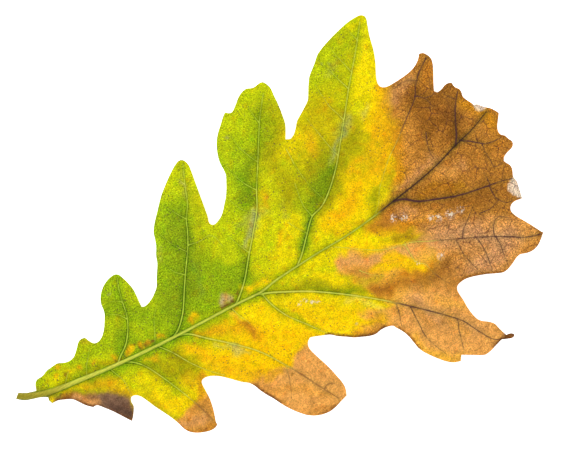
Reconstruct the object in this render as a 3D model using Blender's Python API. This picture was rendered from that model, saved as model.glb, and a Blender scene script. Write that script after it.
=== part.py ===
"""A fallen oak leaf lying on its underside, in metres, +Z up.

The leaf grew as one piece, so it is one closed solid: the short stalk, the midrib that it runs into, the
lobed blade and the ribs that stand out below the blade. +X runs from the cut end of the stalk to the
leaf's apex. The outline and the ribs are drawn in leaf millimetres, with x along the leaf from the cut
end and y to its left, and are scaled so that the leaf has its real length. The blade arches over its
middle and touches the surface it lies on at the end of the stalk and at the tips of its lobes. The
origin is at the centre of the leaf's box, at the height of that surface.
"""

import math

import bmesh
import bpy
import numpy as np
from mathutils import Vector
from mathutils.geometry import delaunay_2d_cdt

# Driving dimensions, in metres.
LEAF_LENGTH = 0.1329
BLADE_THICKNESS = 0.00042
STALK_THICKNESS = 0.0018
STALK_LENGTH = 0.0050

# Mesh density, in leaf millimetres.
DRAWN_LENGTH = 132.9
CURVE_TOLERANCE = 0.07
LONGEST_EDGE = 1.9
BLADE_GRID = 2.6
RIM_CLEARANCE = 1.15
RIB_CLEARANCE = 1.0
RIB_STEP = 2.2

MM = LEAF_LENGTH / DRAWN_LENGTH

# The outline starts at the lower corner of the stalk's cut end. Each stretch runs on smoothly from the
# last point of the stretch before it, and ends at a sharp corner.
OUTLINE_START = (-0.5, -0.4)
OUTLINE = [
    # cut end of the stalk
    [(0.8, 0.6)],
    # stalk, upper edge
    [(1.6, 0.15), (2.6, -0.55), (3.4, -0.85), (4.6, -1.2)],
    # upper ear at the blade's base
    [(5.1, 0.0), (6.1, 0.95), (7.5, 0.95), (9.0, 1.5), (10.8, 1.65), (12.2, 1.75), (13.5, 1.1), (15.0, 0.7),
     (16.5, 1.0), (18.0, 2.2), (19.4, 3.5), (20.2, 3.7), (21.1, 3.5)],
    # first upper lobe
    [(21.7, 2.0), (22.3, 1.2), (23.1, 1.0), (24.2, 1.3), (25.5, 2.3), (26.6, 3.7), (27.6, 5.2), (28.2, 6.4),
     (28.4, 8.0), (29.0, 9.4), (30.0, 10.6), (31.4, 11.75), (33.0, 12.35), (34.6, 12.6), (35.6, 12.1),
     (36.3, 10.2), (36.75, 8.2), (36.85, 6.5), (36.6, 4.8), (36.4, 2.7)],
    # second upper lobe
    [(36.9, 2.4), (38.0, 2.55), (39.4, 3.05), (40.6, 3.8), (42.0, 5.0), (43.2, 7.0), (44.8, 9.25), (45.6, 11.2),
     (47.0, 13.5), (47.9, 16.1), (49.2, 17.9), (51.0, 19.7), (54.0, 22.7), (56.2, 24.4), (58.5, 26.0),
     (60.6, 27.2), (62.0, 27.6), (62.8, 27.2), (63.3, 25.8), (63.1, 24.0), (62.4, 20.4), (61.5, 15.8),
     (60.8, 12.4), (60.4, 11.1)],
    # third upper lobe, to its first tooth
    [(60.7, 10.5), (61.2, 10.25), (62.4, 10.6), (63.7, 11.15), (65.2, 12.6), (67.2, 14.8), (68.6, 17.0),
     (69.7, 19.2), (69.8, 21.2), (70.1, 23.0), (70.9, 25.0), (71.9, 26.8), (73.5, 28.6), (75.4, 30.2),
     (76.8, 31.45), (77.15, 31.6)],
    # third upper lobe, its broad end
    [(77.9, 30.9), (78.5, 30.75), (79.5, 31.26), (81.0, 32.45), (82.4, 33.35), (84.0, 33.75), (84.9, 33.55),
     (85.7, 33.1), (87.0, 33.1), (88.1, 33.2), (88.8, 32.7), (89.35, 30.8)],
    [(89.1, 29.0), (88.9, 26.9), (88.4, 24.05), (87.7, 21.4), (86.6, 19.6), (86.0, 18.6)],
    # fourth upper lobe
    [(87.0, 18.13), (88.1, 18.5), (89.2, 19.4), (90.3, 20.7), (92.2, 21.85), (94.3, 23.1), (95.4, 23.9),
     (96.4, 25.4), (97.7, 27.3), (98.9, 28.7), (100.9, 30.1), (102.3, 31.4), (103.6, 32.15), (106.9, 33.3),
     (109.9, 34.05), (113.0, 34.65), (115.4, 34.7), (116.6, 34.5), (117.35, 33.6), (116.7, 31.5), (115.7, 29.0),
     (115.0, 26.4), (113.7, 23.2), (112.0, 20.1), (111.45, 18.6), (111.6, 17.5), (112.6, 16.8), (114.4, 16.66),
     (117.0, 16.7), (119.6, 17.0), (121.1, 17.5), (122.7, 18.5), (123.56, 19.44)],
    # narrow tooth beside it
    [(124.4, 19.15), (125.1, 18.1), (125.4, 17.0), (124.9, 15.4), (123.6, 13.1), (122.3, 10.9), (121.9, 10.0)],
    # teeth above the apex
    [(122.4, 9.4), (123.4, 9.44), (124.6, 9.9), (125.8, 9.94), (126.5, 9.56)],
    [(126.6, 8.4), (127.2, 7.6), (127.4, 6.6), (127.05, 5.6), (127.4, 4.3), (128.1, 3.0), (128.2, 2.4),
     (128.9, 2.2), (129.6, 1.5), (130.2, 0.6), (131.3, -0.4), (132.0, -1.4), (132.4, -2.4)],
    # teeth below the apex, with thin papery tissue in the bays between them
    [(131.6, -3.4), (130.4, -4.8), (129.9, -6.2), (130.1, -7.0), (130.7, -7.5), (131.0, -8.6), (131.5, -9.4),
     (131.5, -10.1), (130.8, -10.9), (129.3, -11.3), (128.0, -11.8), (127.36, -12.7), (128.0, -13.9),
     (128.15, -15.0), (127.5, -16.3), (127.3, -17.0)],
    [(127.5, -18.1), (127.2, -19.4), (126.9, -20.8), (126.6, -21.8), (126.45, -22.5)],
    # lower lobe beside the apex
    [(125.3, -22.2), (124.0, -22.15), (123.0, -22.7), (122.6, -23.6), (122.85, -24.8), (124.0, -27.0),
     (125.3, -29.4), (126.1, -31.2), (126.6, -32.0)],
    [(125.7, -32.7), (124.6, -33.6), (123.0, -34.25), (121.2, -34.25), (119.7, -33.7), (118.8, -33.5),
     (117.6, -33.9), (116.0, -34.6), (113.8, -35.1), (112.0, -34.4), (109.8, -33.3), (107.4, -32.35),
     (105.6, -31.75), (103.8, -31.7), (102.4, -32.15), (101.9, -33.4), (102.05, -35.0), (101.95, -37.5),
     (102.2, -40.0), (102.8, -41.7), (104.2, -42.9), (105.4, -44.2), (105.9, -46.3), (106.4, -48.0)],
    # its neighbour's dry, rolled tip
    [(107.5, -48.2), (108.1, -48.9), (107.6, -49.4), (106.2, -49.0), (105.0, -48.45)],
    # underside of that lobe, to its notch
    [(102.8, -49.0), (101.0, -49.5), (99.6, -49.5), (97.9, -48.5), (96.0, -47.3), (94.9, -46.6)],
    [(94.04, -47.8)],
    [(92.6, -47.3), (90.7, -45.7), (89.4, -44.0), (88.1, -42.1), (87.2, -40.4), (86.85, -38.5), (86.6, -36.6),
     (86.1, -34.85), (85.2, -33.2), (84.7, -32.2)],
    # long lower sinus and the second lower lobe
    [(83.6, -31.75), (82.0, -31.5), (80.5, -31.75), (79.0, -31.5), (77.4, -30.75), (75.6, -29.9),
     (73.65, -28.45), (72.0, -27.25), (70.8, -26.1), (69.2, -25.36), (67.6, -24.65), (66.6, -24.3),
     (65.6, -24.85), (65.05, -26.0), (65.2, -27.4), (65.8, -29.6), (66.6, -32.4), (67.1, -35.0),
     (67.5, -37.8), (67.3, -39.3), (66.7, -40.6)],
    # end of that lobe, its other side and the first lower lobe
    [(65.8, -40.8), (63.2, -41.55), (61.2, -41.75), (59.2, -41.35), (56.8, -40.1), (54.7, -37.8), (52.9, -35.0),
     (51.5, -32.0), (50.2, -29.6), (49.5, -27.6), (48.9, -26.3), (47.0, -24.6), (45.0, -22.4), (43.2, -20.7),
     (41.6, -19.75), (40.2, -19.4), (39.3, -19.7), (39.0, -20.6), (38.85, -23.4), (38.3, -26.2), (37.4, -28.8),
     (37.0, -29.8)],
    [(37.05, -30.4), (36.2, -30.85), (35.0, -30.85), (33.0, -30.2), (31.0, -29.0), (29.9, -27.6), (29.2, -25.2),
     (28.5, -23.1), (27.5, -20.9), (26.4, -18.4), (25.6, -16.3), (24.9, -15.0), (23.9, -14.25), (23.0, -14.3),
     (22.5, -15.3)],
    # lower ear, drawn out to a sharp tip
    [(22.5, -16.2), (21.6, -17.7), (20.25, -19.2)],
    [(19.2, -17.5), (17.5, -14.7), (15.8, -12.5), (15.0, -11.6), (14.1, -11.6)],
    [(12.9, -10.4), (12.0, -9.0), (11.0, -7.5), (9.2, -6.45), (8.0, -5.9), (6.3, -5.75)],
    [(6.0, -4.8), (6.25, -4.0)],
    # stalk, lower edge
    [(5.0, -3.2), (3.0, -2.5), (1.0, -1.7), OUTLINE_START],
]

# The midrib, from the cut end of the stalk to the apex.
MIDRIB = [(0.15, 0.1), (1.0, -0.6), (3.0, -1.65), (5.0, -2.5), (7.0, -3.1), (10.0, -3.75), (15.0, -4.5),
          (20.0, -5.35), (30.0, -6.6), (40.0, -7.5), (48.0, -8.0), (56.0, -8.5), (62.5, -9.1), (68.0, -8.5),
          (80.0, -8.2), (91.0, -8.0), (100.0, -7.1), (110.0, -5.86), (118.0, -4.0), (126.0, -2.0),
          (130.0, -0.6)]

# The side ribs, each from the midrib towards the tip of its lobe.
SIDE_RIBS = [
    [(24.8, -5.9), (28.4, -3.1), (31.4, 0.8), (33.1, 6.0), (35.0, 11.4)],
    [(39.6, -7.4), (43.0, -4.7), (48.0, 2.2), (54.0, 10.0), (58.2, 17.2), (62.0, 25.0)],
    [(56.4, -8.4), (60.5, -4.6), (65.0, 0.6), (71.0, 7.2), (74.9, 13.0), (80.0, 21.0), (85.0, 27.5)],
    [(73.6, -8.4), (78.0, -3.7), (82.0, -0.1), (88.0, 2.6), (94.0, 8.2), (100.7, 16.0), (107.3, 24.1),
     (114.0, 31.6)],
    [(95.5, -7.6), (98.6, -3.1), (104.6, 2.2), (113.0, 8.0), (118.2, 12.4), (124.0, 17.3)],
    [(120.3, -3.2), (123.0, 2.4), (126.3, 6.6)],
    [(27.0, -6.3), (30.0, -9.9), (33.0, -16.7), (35.2, -22.9), (36.6, -28.2)],
    [(40.6, -7.6), (46.0, -11.9), (53.6, -19.6), (58.8, -27.8), (61.6, -34.0), (64.4, -39.4)],
    [(62.5, -9.3), (70.0, -13.6), (80.9, -21.4), (92.6, -32.4), (99.4, -39.9), (103.2, -47.2)],
    [(80.5, -8.3), (88.0, -13.4), (98.8, -17.7), (109.0, -22.9), (118.0, -27.9), (125.0, -31.7)],
    [(101.6, -7.0), (106.0, -10.8), (115.2, -14.4), (125.2, -16.9)],
]

# How far the underside stands above the surface: x, y and height, in leaf millimetres. The first rows
# are the feet that the leaf rests on, and some lie a little below zero so that they end in small flats.
FEET = [(0.0, -0.2, -0.1), (34.5, -30.6, -0.3), (59.0, -41.2, -0.3), (93.0, -47.2, 0.2), (100.5, -49.3, -0.3),
        (125.6, -32.0, -0.2), (131.9, -2.2, 0.1), (116.2, 34.0, -0.3), (62.0, 27.2, -0.3)]
CROWN = [(5.0, -2.2, 0.2), (10.0, -3.8, 0.8), (20.0, -5.3, 2.0), (35.0, -7.1, 3.9), (50.0, -8.1, 5.2),
         (65.0, -8.8, 6.2), (80.0, -8.3, 6.8), (95.0, -7.7, 6.6), (110.0, -5.7, 5.4), (122.0, -3.0, 3.3),
         (20.2, -19.0, 1.0), (124.6, 18.0, 1.5), (84.5, 33.4, 1.9), (34.2, 12.3, 1.6), (12.0, 1.3, 1.5),
         (20.0, 3.5, 2.0), (36.6, 3.2, 3.4), (60.6, 10.6, 5.2), (86.2, 18.8, 5.0), (111.8, 17.6, 3.8),
         (122.2, 9.8, 2.6), (77.0, 31.0, 1.7), (127.6, 5.0, 1.6), (130.6, -9.8, 1.2), (126.0, -22.0, 1.9),
         (8.5, -5.8, 1.0), (23.4, -14.6, 1.9), (39.8, -20.0, 3.0), (66.4, -24.8, 4.4),
         (80.0, -31.0, 3.0), (103.6, -32.3, 3.4), (107.6, -48.8, 1.7), (55.0, 4.0, 6.0), (75.0, 8.0, 6.6),
         (95.0, 8.0, 6.6), (48.0, -16.0, 4.6), (58.0, -28.0, 3.2), (75.0, -20.0, 5.6), (94.0, -22.0, 5.6),
         (95.0, -36.0, 3.4), (112.0, -18.0, 4.8), (118.0, -28.0, 2.6), (104.0, 25.0, 3.4), (80.0, 24.0, 3.6),
         (54.0, 16.0, 3.4), (31.0, 5.0, 2.2), (33.0, -22.0, 1.8), (16.0, -10.5, 0.9)]

# Margins that turn down: a point on the margin, how far the turn reaches along it, and its depth.
TURNED_MARGINS = [((73.0, -28.2), 7.0, 1.1), ((80.0, -31.6), 5.0, 0.9), ((50.4, -30.0), 6.0, 1.0),
                  ((86.7, -37.0), 6.0, 0.9), ((110.0, -33.6), 6.0, 1.0), ((44.5, -22.0), 6.0, 0.7),
                  ((29.0, -24.6), 5.0, 0.7), ((13.0, -10.4), 5.0, 0.6)]
TURN_WIDTH = 1.3


def smooth_run(points, steps=24):
    """A centripetal Catmull-Rom curve through the points, without its first point."""
    if len(points) == 2:
        return [points[1]]
    knots = [Vector(p) for p in points]
    knots = [2 * knots[0] - knots[1]] + knots + [2 * knots[-1] - knots[-2]]
    curve = []
    for a, b, c, d in zip(knots, knots[1:], knots[2:], knots[3:]):
        t1 = math.sqrt((b - a).length)
        t2 = t1 + math.sqrt((c - b).length)
        t3 = t2 + math.sqrt((d - c).length)
        for step in range(1, steps + 1):
            t = t1 + (t2 - t1) * step / steps
            ab = a.lerp(b, t / t1)
            bc = b.lerp(c, (t - t1) / (t2 - t1))
            cd = c.lerp(d, (t - t2) / (t3 - t2))
            abc = ab.lerp(bc, t / t2)
            bcd = bc.lerp(cd, (t - t1) / (t3 - t1))
            curve.append(tuple(abc.lerp(bcd, (t - t1) / (t2 - t1))))
    return curve


def thinned(start, curve):
    """The curve's points that keep within CURVE_TOLERANCE of it, none further than LONGEST_EDGE apart."""
    kept = []
    anchor = Vector(start)
    skipped = []
    for here, after in zip(curve, curve[1:]):
        skipped.append(Vector(here))
        chord = Vector(after) - anchor
        across = max(abs((p - anchor).cross(chord)) for p in skipped) / chord.length
        if across > CURVE_TOLERANCE or chord.length > LONGEST_EDGE:
            kept.append(here)
            anchor = Vector(here)
            skipped = []
    return kept + [curve[-1]]


def leaf_rim():
    """The blade's and stalk's outline as one closed loop of points, without a repeated last point."""
    rim = []
    start = OUTLINE_START
    for stretch in OUTLINE:
        rim += thinned(start, smooth_run([start] + stretch))
        start = stretch[-1]
    return np.array(rim)


def spaced(points, step):
    """Points a step apart along the smooth curve through the given points."""
    curve = np.array([points[0]] + smooth_run(points))
    along = np.concatenate([[0.0], np.cumsum(np.linalg.norm(np.diff(curve, axis=0), axis=1))])
    places = np.linspace(0.0, along[-1], max(2, round(along[-1] / step) + 1))
    return np.column_stack([np.interp(places, along, curve[:, k]) for k in (0, 1)])


def distance_to(line, points, closed=False):
    """Each point's distance to a polyline, and how far along the line, from 0 to 1, its foot is."""
    ends = np.vstack([line, line[:1]]) if closed else line
    starts, spans = ends[:-1], np.diff(ends, axis=0)
    lengths = np.linalg.norm(spans, axis=1)
    offsets = points[:, None, :] - starts[None, :, :]
    part = np.clip((offsets * spans).sum(2) / (lengths**2), 0.0, 1.0)
    gaps = np.linalg.norm(offsets - part[:, :, None] * spans, axis=2)
    nearest = gaps.argmin(axis=1)
    rows = np.arange(len(points))
    along = np.concatenate([[0.0], np.cumsum(lengths)])
    return gaps[rows, nearest], (along[nearest] + part[rows, nearest] * lengths[nearest]) / along[-1]


def inside(rim, points):
    """Whether each point is within the outline, by counting the rim edges to its right."""
    x, y = points[:, :1], points[:, 1:]
    x1, y1 = rim[:, 0], rim[:, 1]
    x2, y2 = np.roll(x1, -1), np.roll(y1, -1)
    spans_it = (y1 > y) != (y2 > y)
    rise = np.where(y2 == y1, 1.0, y2 - y1)
    crossing = x1 + (y - y1) * (x2 - x1) / rise
    return (spans_it & (crossing > x)).sum(axis=1) % 2 == 1


def beside(line, width):
    """The line moved sideways by width, which may differ from point to point."""
    run = np.gradient(line, axis=0)
    run /= np.linalg.norm(run, axis=1)[:, None]
    return line + np.column_stack([-run[:, 1], run[:, 0]]) * width[:, None]


def midrib_half_width(place):
    """The midrib's half width in leaf millimetres, at a place from 0 at the cut end to 1 at the apex."""
    return np.interp(place, [0.0, 0.05, 0.16, 0.5, 0.8, 1.0], [0.9, 0.85, 0.6, 0.5, 0.35, 0.2])


def blade_points(rim, ribs):
    """Every point of the flat pattern inside the rim: the rows along the ribs, then an even grid."""
    midrib = spaced(MIDRIB, RIB_STEP)[1:-1]
    half_width = midrib_half_width(np.linspace(0.0, 1.0, len(midrib)))
    rows = [midrib, beside(midrib, half_width), beside(midrib, -half_width)]
    rows += [rib[1:] for rib in ribs]
    chosen = np.vstack(rows)
    kept = inside(rim, chosen) & (distance_to(rim, chosen, closed=True)[0] > 0.25)
    chosen = chosen[kept]
    height = BLADE_GRID * math.sqrt(3) / 2
    low, high = rim.min(axis=0), rim.max(axis=0)
    grid = []
    for row, y in enumerate(np.arange(low[1], high[1], height)):
        shift = BLADE_GRID / 2 if row % 2 else 0.0
        grid += [(x + shift, y) for x in np.arange(low[0], high[0], BLADE_GRID)]
    grid = np.array(grid)
    grid = grid[inside(rim, grid)]
    grid = grid[distance_to(rim, grid, closed=True)[0] > RIM_CLEARANCE]
    gaps = np.linalg.norm(grid[:, None, :] - chosen[None, :, :], axis=2).min(axis=1)
    return np.vstack([chosen, grid[gaps > RIB_CLEARANCE]])


def thin_plate(rows):
    """A function of x and y that passes through every row's height with the least bending."""
    rows = np.array(rows)
    places, heights = rows[:, :2], rows[:, 2]

    def kernel(points):
        squares = ((points[:, None, :] - places[None, :, :]) ** 2).sum(axis=2)
        return 0.5 * squares * np.log(squares + 1e-9)

    def plane(points):
        return np.column_stack([np.ones(len(points)), points])

    system = np.block([[kernel(places), plane(places)], [plane(places).T, np.zeros((3, 3))]])
    weights = np.linalg.solve(system, np.concatenate([heights, np.zeros(3)]))
    return lambda points: kernel(points) @ weights[:-3] + plane(points) @ weights[-3:]


def leaf_heights(rim, points):
    """The underside's and the upper side's height at each point, in leaf millimetres."""
    underside = thin_plate(FEET + CROWN)(points)
    from_rim = distance_to(rim, points, closed=True)[0]
    for place, reach, depth in TURNED_MARGINS:
        near = np.exp(-((np.linalg.norm(points - place, axis=1) / reach) ** 2))
        underside -= depth * near * np.exp(-((from_rim / TURN_WIDTH) ** 2))
    blade = BLADE_THICKNESS / MM
    top = np.maximum(underside, 0.0) + blade
    return top - blade - rib_depth(points), top + stalk_rise(points)


def round_over(points):
    """How near each point is to the midrib's middle line, 1 on it and 0 at its sides, and its place."""
    gap, place = distance_to(spaced(MIDRIB, RIB_STEP), points)
    across = np.clip(gap / midrib_half_width(place), 0.0, 1.0)
    return np.sqrt(1.0 - across**2), place


def rib_depth(points):
    """How far the midrib and the side ribs stand out below the blade, in leaf millimetres."""
    roundness, place = round_over(points)
    deepest = np.interp(place, [0.0, 0.04, 0.15, 0.5, 1.0], [0.2, 0.35, 0.7, 0.5, 0.1])
    depth = deepest * roundness
    for rib in SIDE_RIBS:
        gap, along = distance_to(spaced(rib, RIB_STEP), points)
        depth = np.maximum(depth, (0.32 - 0.2 * along) * np.exp(-((gap / 0.5) ** 2)))
    return depth


def stalk_rise(points):
    """How far the rounded stalk stands above the blade's level, fading out along the midrib."""
    roundness, place = round_over(points)
    end = STALK_LENGTH / LEAF_LENGTH
    full = (STALK_THICKNESS - BLADE_THICKNESS) / MM
    return roundness * np.interp(place, [0.0, end, 3.0 * end], [full - 0.25, full - 0.35, 0.0])


def leaf_mesh():
    """The leaf as one closed mesh: its upper side, its underside and the thin edge between them."""
    rim = leaf_rim()
    ribs = [spaced(rib, RIB_STEP) for rib in SIDE_RIBS]
    pattern = np.vstack([rim, blade_points(rim, ribs)])
    count = len(rim)
    loop = [(i, (i + 1) % count) for i in range(count)]
    flat, _, faces, *_ = delaunay_2d_cdt([Vector(p) for p in pattern], loop, [], 1, 1e-5)
    flat = np.array(flat)
    low, high = leaf_heights(flat[:count], flat)
    low = np.maximum(low, 0.0)
    high = np.maximum(high, low + 0.5 * BLADE_THICKNESS / MM)
    low, high = low - low.min(), high - low.min()
    centre = (flat.min(axis=0) + flat.max(axis=0)) / 2

    shape = bmesh.new()
    upper = [shape.verts.new((*(p - centre) * MM, z * MM)) for p, z in zip(flat, high)]
    under = [shape.verts.new((*(p - centre) * MM, z * MM)) for p, z in zip(flat, low)]
    for face in faces:
        shape.faces.new([upper[i] for i in face])
        shape.faces.new([under[i] for i in reversed(face)])
    for i, j in loop:
        shape.faces.new([upper[j], upper[i], under[i], under[j]])
    bmesh.ops.recalc_face_normals(shape, faces=shape.faces)
    mesh = bpy.data.meshes.new("oak_leaf")
    shape.to_mesh(mesh)
    shape.free()
    return mesh


def leaf_material():
    """Waxy autumn leaf: one Principled BSDF in the leaf's mean yellow-green."""
    material = bpy.data.materials.new("autumn_leaf")
    material.use_nodes = True
    shader = material.node_tree.nodes["Principled BSDF"]
    shader.inputs["Base Color"].default_value = (0.55, 0.42, 0.04, 1.0)
    shader.inputs["Roughness"].default_value = 0.5
    shader.inputs["Metallic"].default_value = 0.0
    return material


def main():
    for obj in list(bpy.data.objects):
        bpy.data.objects.remove(obj, do_unlink=True)
    leaf = bpy.data.objects.new("oak_leaf", leaf_mesh())
    leaf.data.materials.append(leaf_material())
    leaf.data.shade_smooth()
    leaf.data.set_sharp_from_angle(angle=math.radians(50))
    bpy.context.scene.collection.objects.link(leaf)


main()
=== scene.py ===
"""A fallen oak leaf in autumn colours on a pale floor, seen straight from above.

The leaf's own drawing is in leaf millimetres, as the CAD's is: x runs along the leaf from the cut end of
the stalk to the apex, and y to the leaf's left. The outline and the arch of the blade come from the CAD
node. On them this script builds a finer leaf: its veins, the net of small veins between them, the puckers
of the blade and its stains. The stains are washes laid over each other, as in a painting; among them, a
few washes beside veins and the thin dark lines along turned-down edges are painted shade, one wash is a
painted sheen, and pale flecks on the wet places are painted highlights.
"""

import math
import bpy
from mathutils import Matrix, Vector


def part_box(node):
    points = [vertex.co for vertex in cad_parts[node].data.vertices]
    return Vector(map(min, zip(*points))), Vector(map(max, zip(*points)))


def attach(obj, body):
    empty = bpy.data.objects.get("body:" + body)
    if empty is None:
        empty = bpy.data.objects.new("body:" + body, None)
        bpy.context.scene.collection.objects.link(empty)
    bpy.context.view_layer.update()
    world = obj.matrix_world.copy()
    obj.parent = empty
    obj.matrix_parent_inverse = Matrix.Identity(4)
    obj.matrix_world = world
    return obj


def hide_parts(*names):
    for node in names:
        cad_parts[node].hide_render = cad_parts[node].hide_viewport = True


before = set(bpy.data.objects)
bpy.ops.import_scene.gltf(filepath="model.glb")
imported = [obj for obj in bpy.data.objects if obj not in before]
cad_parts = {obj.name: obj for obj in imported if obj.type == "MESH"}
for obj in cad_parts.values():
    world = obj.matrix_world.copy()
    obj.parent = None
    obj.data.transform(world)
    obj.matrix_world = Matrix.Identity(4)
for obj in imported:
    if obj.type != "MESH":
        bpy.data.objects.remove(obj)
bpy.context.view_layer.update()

from types import SimpleNamespace

import bpy
import numpy as np
from mathutils import Vector, kdtree
from mathutils.geometry import delaunay_2d_cdt

MM = 0.001
NODE = "oak_leaf"
NODE_LOW, NODE_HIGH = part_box(NODE)
LEAF_LOW = np.array([-0.5, -49.575])  # the drawing's lowest x and y, which sit at the node's lowest corner

# Distances in the mesh's pattern, in leaf millimetres.
GRID = 0.46  # between free points
ROW_SHARE = 0.87  # from one row of a grid to the next, as a share of the distance along the row
VEIN_STEP = 0.42  # along a vein
RIM_STEP = 0.45  # along the rim
LEAST_GAP = 0.20  # between any two points that aren't free
RIM_CLEARANCE = 0.22  # from the rim to a vein
VEIN_CLEARANCE = 0.45  # from a vein to the net of small veins
NET_CELL = 3.7  # across a cell of that net
FINE_STEP = 0.1  # along a line of points that gaps are measured to
COARSE_STEP = 1.5  # along a polyline that gaps are measured to

# Heights, in leaf millimetres. A table has the height at each x.
THICKNESS = 0.30
LEAST_THICKNESS = 0.14
RIDGE = [(0, 1.1), (5, 1.0), (9, 0.55), (15, 0.32), (30, 0.24), (60, 0.16), (100, 0.08), (130, 0.03)]
KEEL = [(0, 0.2), (5, 0.35), (20, 0.7), (65, 0.5), (130, 0.1)]
SIDE_RIDGE = 0.10
SIDE_KEEL = 0.30
NET_KEEL = 0.05
# Puckers of the blade: how far apart, how high where it lives, how much higher where it is dead, seed.
PUCKERS = [(8.0, 0.11, 0.0, 61), (2.6, 0.07, 0.08, 63), (1.2, 0.025, 0.02, 65)]
# The CAD's stalk and what follows it stand above its blade up to this x, this far to each side.
CAD_STALK_END = 16
CAD_STALK = [(0, 0.75), (15, 0.5)]

# ---- veins

MIDRIB = [(0.15, 0.1), (1.0, -0.6), (3.0, -1.65), (5.0, -2.5), (7.0, -3.1), (10.0, -3.75), (15.0, -4.5),
          (20.0, -5.35), (30.0, -6.6), (40.0, -7.5), (48.0, -8.0), (56.0, -8.5), (60.0, -8.9),
          (62.5, -9.1), (66.0, -8.6), (70.0, -8.4), (80.0, -8.2), (86.0, -8.3), (94.0, -7.8),
          (100.0, -7.1), (106.0, -6.4), (113.2, -5.2), (119.6, -3.5), (124.4, -2.5), (130.0, -0.6)]
MIDRIB_WIDTH = [(0, 0.86), (6, 0.76), (12, 0.58), (22, 0.45), (40, 0.36), (62, 0.28), (80, 0.16),
                (100, 0.15), (118, 0.13), (131, 0.07)]

# Side veins, from the midrib outwards: half width where it starts, half width at its end, points.
SIDE_VEINS = [
    (0.17, 0.08, [(24.4, -6.0), (26.0, -4.7), (28.4, -3.1), (30.4, -0.8), (32.2, 2.4), (33.1, 6.0),
                  (34.0, 9.2), (35.0, 11.6)]),
    (0.17, 0.08, [(38.8, -7.4), (41.0, -6.4), (44.0, -3.6), (47.0, 0.6), (50.0, 4.8), (53.0, 8.8),
                  (55.0, 12.2), (56.2, 14.8), (58.2, 17.5), (60.0, 21.6), (62.3, 26.4)]),
    (0.17, 0.08, [(55.6, -8.5), (57.5, -7.2), (60.5, -4.6), (64.2, -0.4), (68.0, 3.8), (71.6, 8.0),
                  (73.9, 11.9), (77.6, 17.4), (80.9, 22.35), (83.7, 26.4), (87.2, 30.6)]),
    (0.17, 0.08, [(72.6, -8.4), (75.0, -6.6), (78.0, -3.7), (81.0, -0.8), (82.0, -0.1), (85.0, 0.7),
                  (88.0, 2.6), (92.5, 6.6), (96.4, 11.0), (100.7, 16.0), (105.0, 21.1), (109.5, 26.05),
                  (112.7, 29.7), (115.6, 33.2)]),
    (0.04, 0.10, [(94.0, -7.8), (96.4, -6.2), (98.6, -3.1), (101.5, -0.4), (104.6, 2.2), (108.6, 4.8),
                  (113.0, 8.0), (117.2, 11.1), (118.8, 13.4), (121.0, 15.5), (124.4, 17.7)]),
    (0.15, 0.08, [(119.4, -3.6), (120.8, -1.8), (122.5, 1.4), (124.6, 4.8), (126.6, 7.0)]),
    (0.15, 0.07, [(25.8, -6.1), (28.0, -7.6), (29.9, -9.9), (31.8, -13.9), (33.8, -18.9), (35.6, -24.3),
                  (36.8, -29.2)]),
    (0.17, 0.08, [(39.2, -7.4), (42.4, -8.5), (45.8, -11.8), (50.2, -16.0), (54.6, -20.8), (58.0, -26.4),
                  (60.4, -31.0), (62.4, -35.4), (64.8, -40.2)]),
    (0.21, 0.06, [(61.0, -9.0), (64.0, -10.3), (67.0, -11.9), (71.5, -14.5), (75.0, -16.9),
                  (79.6, -20.45), (84.5, -24.6), (88.3, -28.1), (92.6, -32.4), (96.6, -36.6),
                  (99.4, -39.9), (101.2, -43.7), (103.25, -47.3), (105.6, -48.7)]),
    (0.05, 0.11, [(79.0, -8.2), (82.0, -8.8), (85.0, -10.8), (88.0, -13.1), (92.5, -15.8), (98.8, -17.7),
                  (102.8, -19.8), (109.0, -22.9), (115.3, -26.3), (119.4, -28.8), (122.0, -30.6),
                  (126.0, -32.1)]),
    (0.18, 0.09, [(100.0, -7.1), (102.2, -7.9), (105.0, -10.2), (109.0, -12.0), (113.6, -13.9),
                  (120.0, -15.5), (124.0, -16.3), (126.8, -17.2)]),
    (0.14, 0.06, [(121.0, -3.1), (123.0, -4.6), (126.0, -7.0), (129.8, -7.7)]),
    # towards the long lower sinus, and one between the first two lower lobes
    (0.15, 0.08, [(62.2, -9.1), (62.8, -12.5), (64.6, -17.0), (67.7, -21.4), (70.6, -25.8)]),
    (0.13, 0.06, [(34.6, -7.0), (37.0, -10.3), (39.2, -14.4), (41.7, -18.05), (44.6, -21.3)]),
]

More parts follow.
